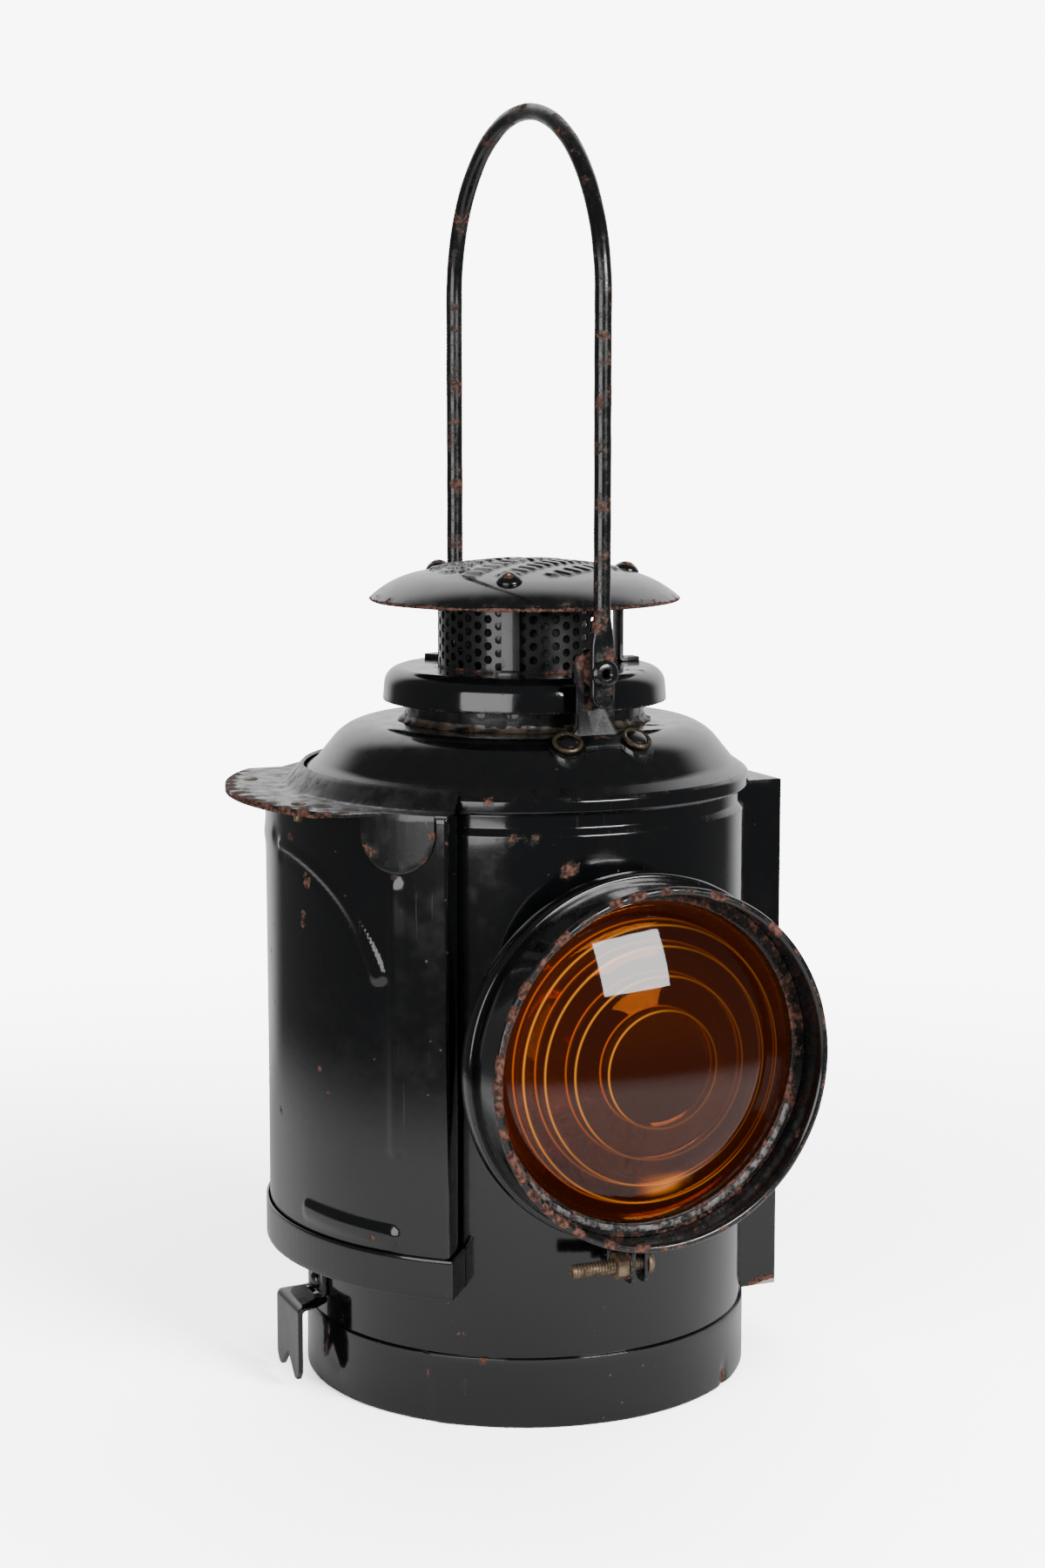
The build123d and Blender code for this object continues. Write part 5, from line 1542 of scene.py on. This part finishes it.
def threaded(name, long, finish):
    """A threaded rod lying along +X from the origin, long in millimetres."""
    r = Recipe(name + "_recipe", Length=long * MM, Radius=shank_r * MM, Pitch=thread_pitch * MM,
               Depth=thread_depth * MM, Round=40, Along=int(long / thread_pitch * 9), Material=finish)
    length, pitch = r.given("Length"), r.given("Pitch")
    grid = r.node("GeometryNodeMeshGrid", sockets={
        "Size X": length, "Size Y": 1.0, "Vertices X": r.given("Along"), "Vertices Y": r.given("Round")})
    from_middle, share, _ = r.parts(r.node("GeometryNodeInputPosition").outputs[0])
    along = from_middle + length * 0.5
    turn = share + 0.5
    saw = r.math("PINGPONG", along / pitch + turn, 0.5)
    crest = r.math("MINIMUM", saw * 2.6, 1.0)
    end = r.math("MINIMUM", along, length - along) / (pitch * 0.9)
    lead = r.math("MINIMUM", end, 1.0)
    radius = r.given("Radius") - r.given("Depth") * (1 - crest * lead)
    angle = turn * (2 * math.pi)
    place = r.vector(along, r.math("COSINE", angle) * radius, r.math("SINE", angle) * radius)
    rolled = r.node("GeometryNodeSetPosition", sockets={0: grid.outputs["Mesh"], "Position": place})
    welded = r.node("GeometryNodeMergeByDistance", sockets={0: rolled.outputs[0], "Distance": 1e-6})
    r.finish(welded.outputs[0])
    return r.run(name)


rod = threaded("clamp_screw", -bolt_low.x + 1.0, tan_steel)
with worked(rod.data) as work:
    bmesh.ops.holes_fill(work, edges=[e for e in work.edges if e.is_boundary], sides=0)
    bmesh.ops.recalc_face_normals(work, faces=work.faces)
turned(rod, 0, "Z", (bolt_low.x, bolt_y, bolt_z))
head_x = bolt_high.x - 3.0
bolt_head_r = 4.3
head_line = [complex(bolt_head_r * math.cos(a), 1.0 + 1.95 * math.sin(a)) for a in fan(0, math.pi / 2, 6)]
head_line += [-2.0j, 2.3 - 2.0j, 2.3 + 0.02j, bolt_head_r + 0.02j]
bolt_head = lathe("bolt_head", dense(head_line, 0.6), turns=32)
joined(rod, turned(bolt_head, math.pi / 2, "Y", (head_x, bolt_y, bolt_z)))
fit(rod, tan_steel, "clamp_bolt")
simple("clamp_nut", tan_steel, 0.35, segments=3)
simple("clamp_washer", handled_black, 0.15, worn=0.48)

# %% [markdown]
# ## What is left
# The remaining pieces are already the right shape, so each gets eased edges and its finish: the bracket
# pocket, the hook, the straps, and everything inside that shows through the lens or when the door is up.

# %% Bracket pocket, hook and straps
pocket = finer(eased("bracket_socket", 0.6), 5)
pocket_low, pocket_high = span("bracket_socket")
corner_x, face_y, foot_z = pocket_high.x, pocket_low.y, pocket_low.z
wear(pocket, spots=dots(*((corner_x - away, face_y, foot_z, 2.2, 2.2) for away in (0, 2.5, 5, 7)))
     + dots((corner_x, face_y, foot_z + 9, 1.5, 0.6), (corner_x, -15, 60, 2, 0.42),
            (80, -15, pocket_high.z, 3, 0.36), (corner_x, -14, 150, 1.6, 0.42)))
fit(pocket, gloss_black, "bracket_socket")

hook = finer(eased("locating_hook", 0.3), 2.0)
wear(hook, base=0.04, spots=dots((-86, 3, 10, 1.6, 0.50), (-86, -6, 4, 1.8, 0.56), (-84, 12, 16, 1.2, 0.45),
                                 (-77, 4, 38, 1.5, 0.42)))
fit(hook, handled_black, "locating_hook")

for i in (1, 2, 3):
    simple(f"chimney_strap_{i}", sooty_black, 0.3, worn=0.22)

# %% Inside
inside_finish = {"black_enamel": sooty_black, "inside_steel": sooty_black, "tinned_steel": tinned,
                 "burner_brass": aged_brass, "clear_glass": clear, "wick_cotton": cotton, "felt": felt}
for node in sorted(waiting):
    simple(node, inside_finish[slots[node]], 0.12 if node in ("wick_winder", "wick") else 0.2)
print("left over", sorted(waiting))

# %% [markdown]
# ## Floor and light
# A pale floor that fades out before its edge keeps the background plain from every side. One soft light
# stands high at the front right and draws the square patch on the lens. A wider, weaker one at the left
# front draws the upright highlight on the door, and the surroundings glow from behind on the right, which
# gives the case its bright edge. Both floor and surroundings are far brighter to the camera than to
# reflections, or black enamel would look grey.

# %% Floor
SEEN_FLOOR = 9.0
PLAIN_FLOOR = 1.15
SEEN_BACKDROP = 8.5
ROOM_GLOW = 0.11


def fading_floor(name, size):
    """A pale floor: bright to the camera, plainer in reflections, and fading away before its edge."""
    mesh = bpy.data.meshes.new(name)
    corners = [(-size, -size, 0), (size, -size, 0), (size, size, 0), (-size, size, 0)]
    mesh.from_pydata(corners, [], [(0, 1, 2, 3)])
    f = Finish(name)
    across, along, _ = f.parts(f.place)
    far = (across**2 + along**2) ** 0.5
    shade = f.node("ShaderNodeBsdfDiffuse", sockets={"Color": (SEEN_FLOOR, SEEN_FLOOR * 0.99, SEEN_FLOOR, 1)})
    plain = f.node("ShaderNodeBsdfDiffuse", sockets={"Color": (PLAIN_FLOOR, PLAIN_FLOOR, PLAIN_FLOOR, 1)})
    clear_away = f.node("ShaderNodeBsdfTransparent")
    seen = f.blend(f.step(far, 0.12, 0.75), shade, clear_away)
    mirrored = f.blend(f.step(far, 0.38, 0.60), plain, clear_away)
    both = f.blend(f.node("ShaderNodeLightPath").outputs["Is Camera Ray"], mirrored, seen)
    f.feed(f.output.inputs["Surface"], both.outputs[0])
    mesh.materials.append(f.material)
    put_in_scene(name, mesh)


fading_floor("floor", 1.2)

# %% Surroundings
world = bpy.data.worlds.new("studio")
bpy.context.scene.world = world
world.use_nodes = True
w = Wiring(world.node_tree)
w.tree.nodes.clear()
toward = w.node("ShaderNodeTexCoord").outputs["Generated"]
back_wall = w.node("ShaderNodeVectorMath", {"operation": "DOT_PRODUCT"}, {0: toward, 1: (0.45, 0.85, 0.28)})
glow = w.step(back_wall.outputs["Value"], 0.56, 0.84) * (w.parts(toward)[2] * 0.6 + 1.0) + ROOM_GLOW
backdrop = w.node("ShaderNodeBackground",
                  sockets={"Color": (1.0, 0.985, 1.015, 1), "Strength": SEEN_BACKDROP})
room = w.node("ShaderNodeBackground", sockets={"Color": (1.0, 1.0, 1.02, 1), "Strength": glow})
either = w.blend(w.node("ShaderNodeLightPath").outputs["Is Camera Ray"], room, backdrop)
w.node("ShaderNodeOutputWorld", sockets={0: either.outputs[0]})


# %% Lights
def soft_light(name, place, aim, width, height, power):
    """A rectangular light at a place, looking at a point."""
    light = put_in_scene(name, bpy.data.lights.new(name, "AREA"))
    light.data.shape = "RECTANGLE"
    light.data.size, light.data.size_y = width, height
    light.data.energy = power
    light.location = place
    light.rotation_euler = (Vector(aim) - Vector(place)).to_track_quat("-Z", "Y").to_euler()


soft_light("key", (0.45, -1.48, 0.70), (0, 0, 0.13), 0.68, 0.50, 22)
soft_light("left_front", (-1.16, -0.80, 0.37), (0, 0, 0.22), 1.12, 0.76, 11.0)
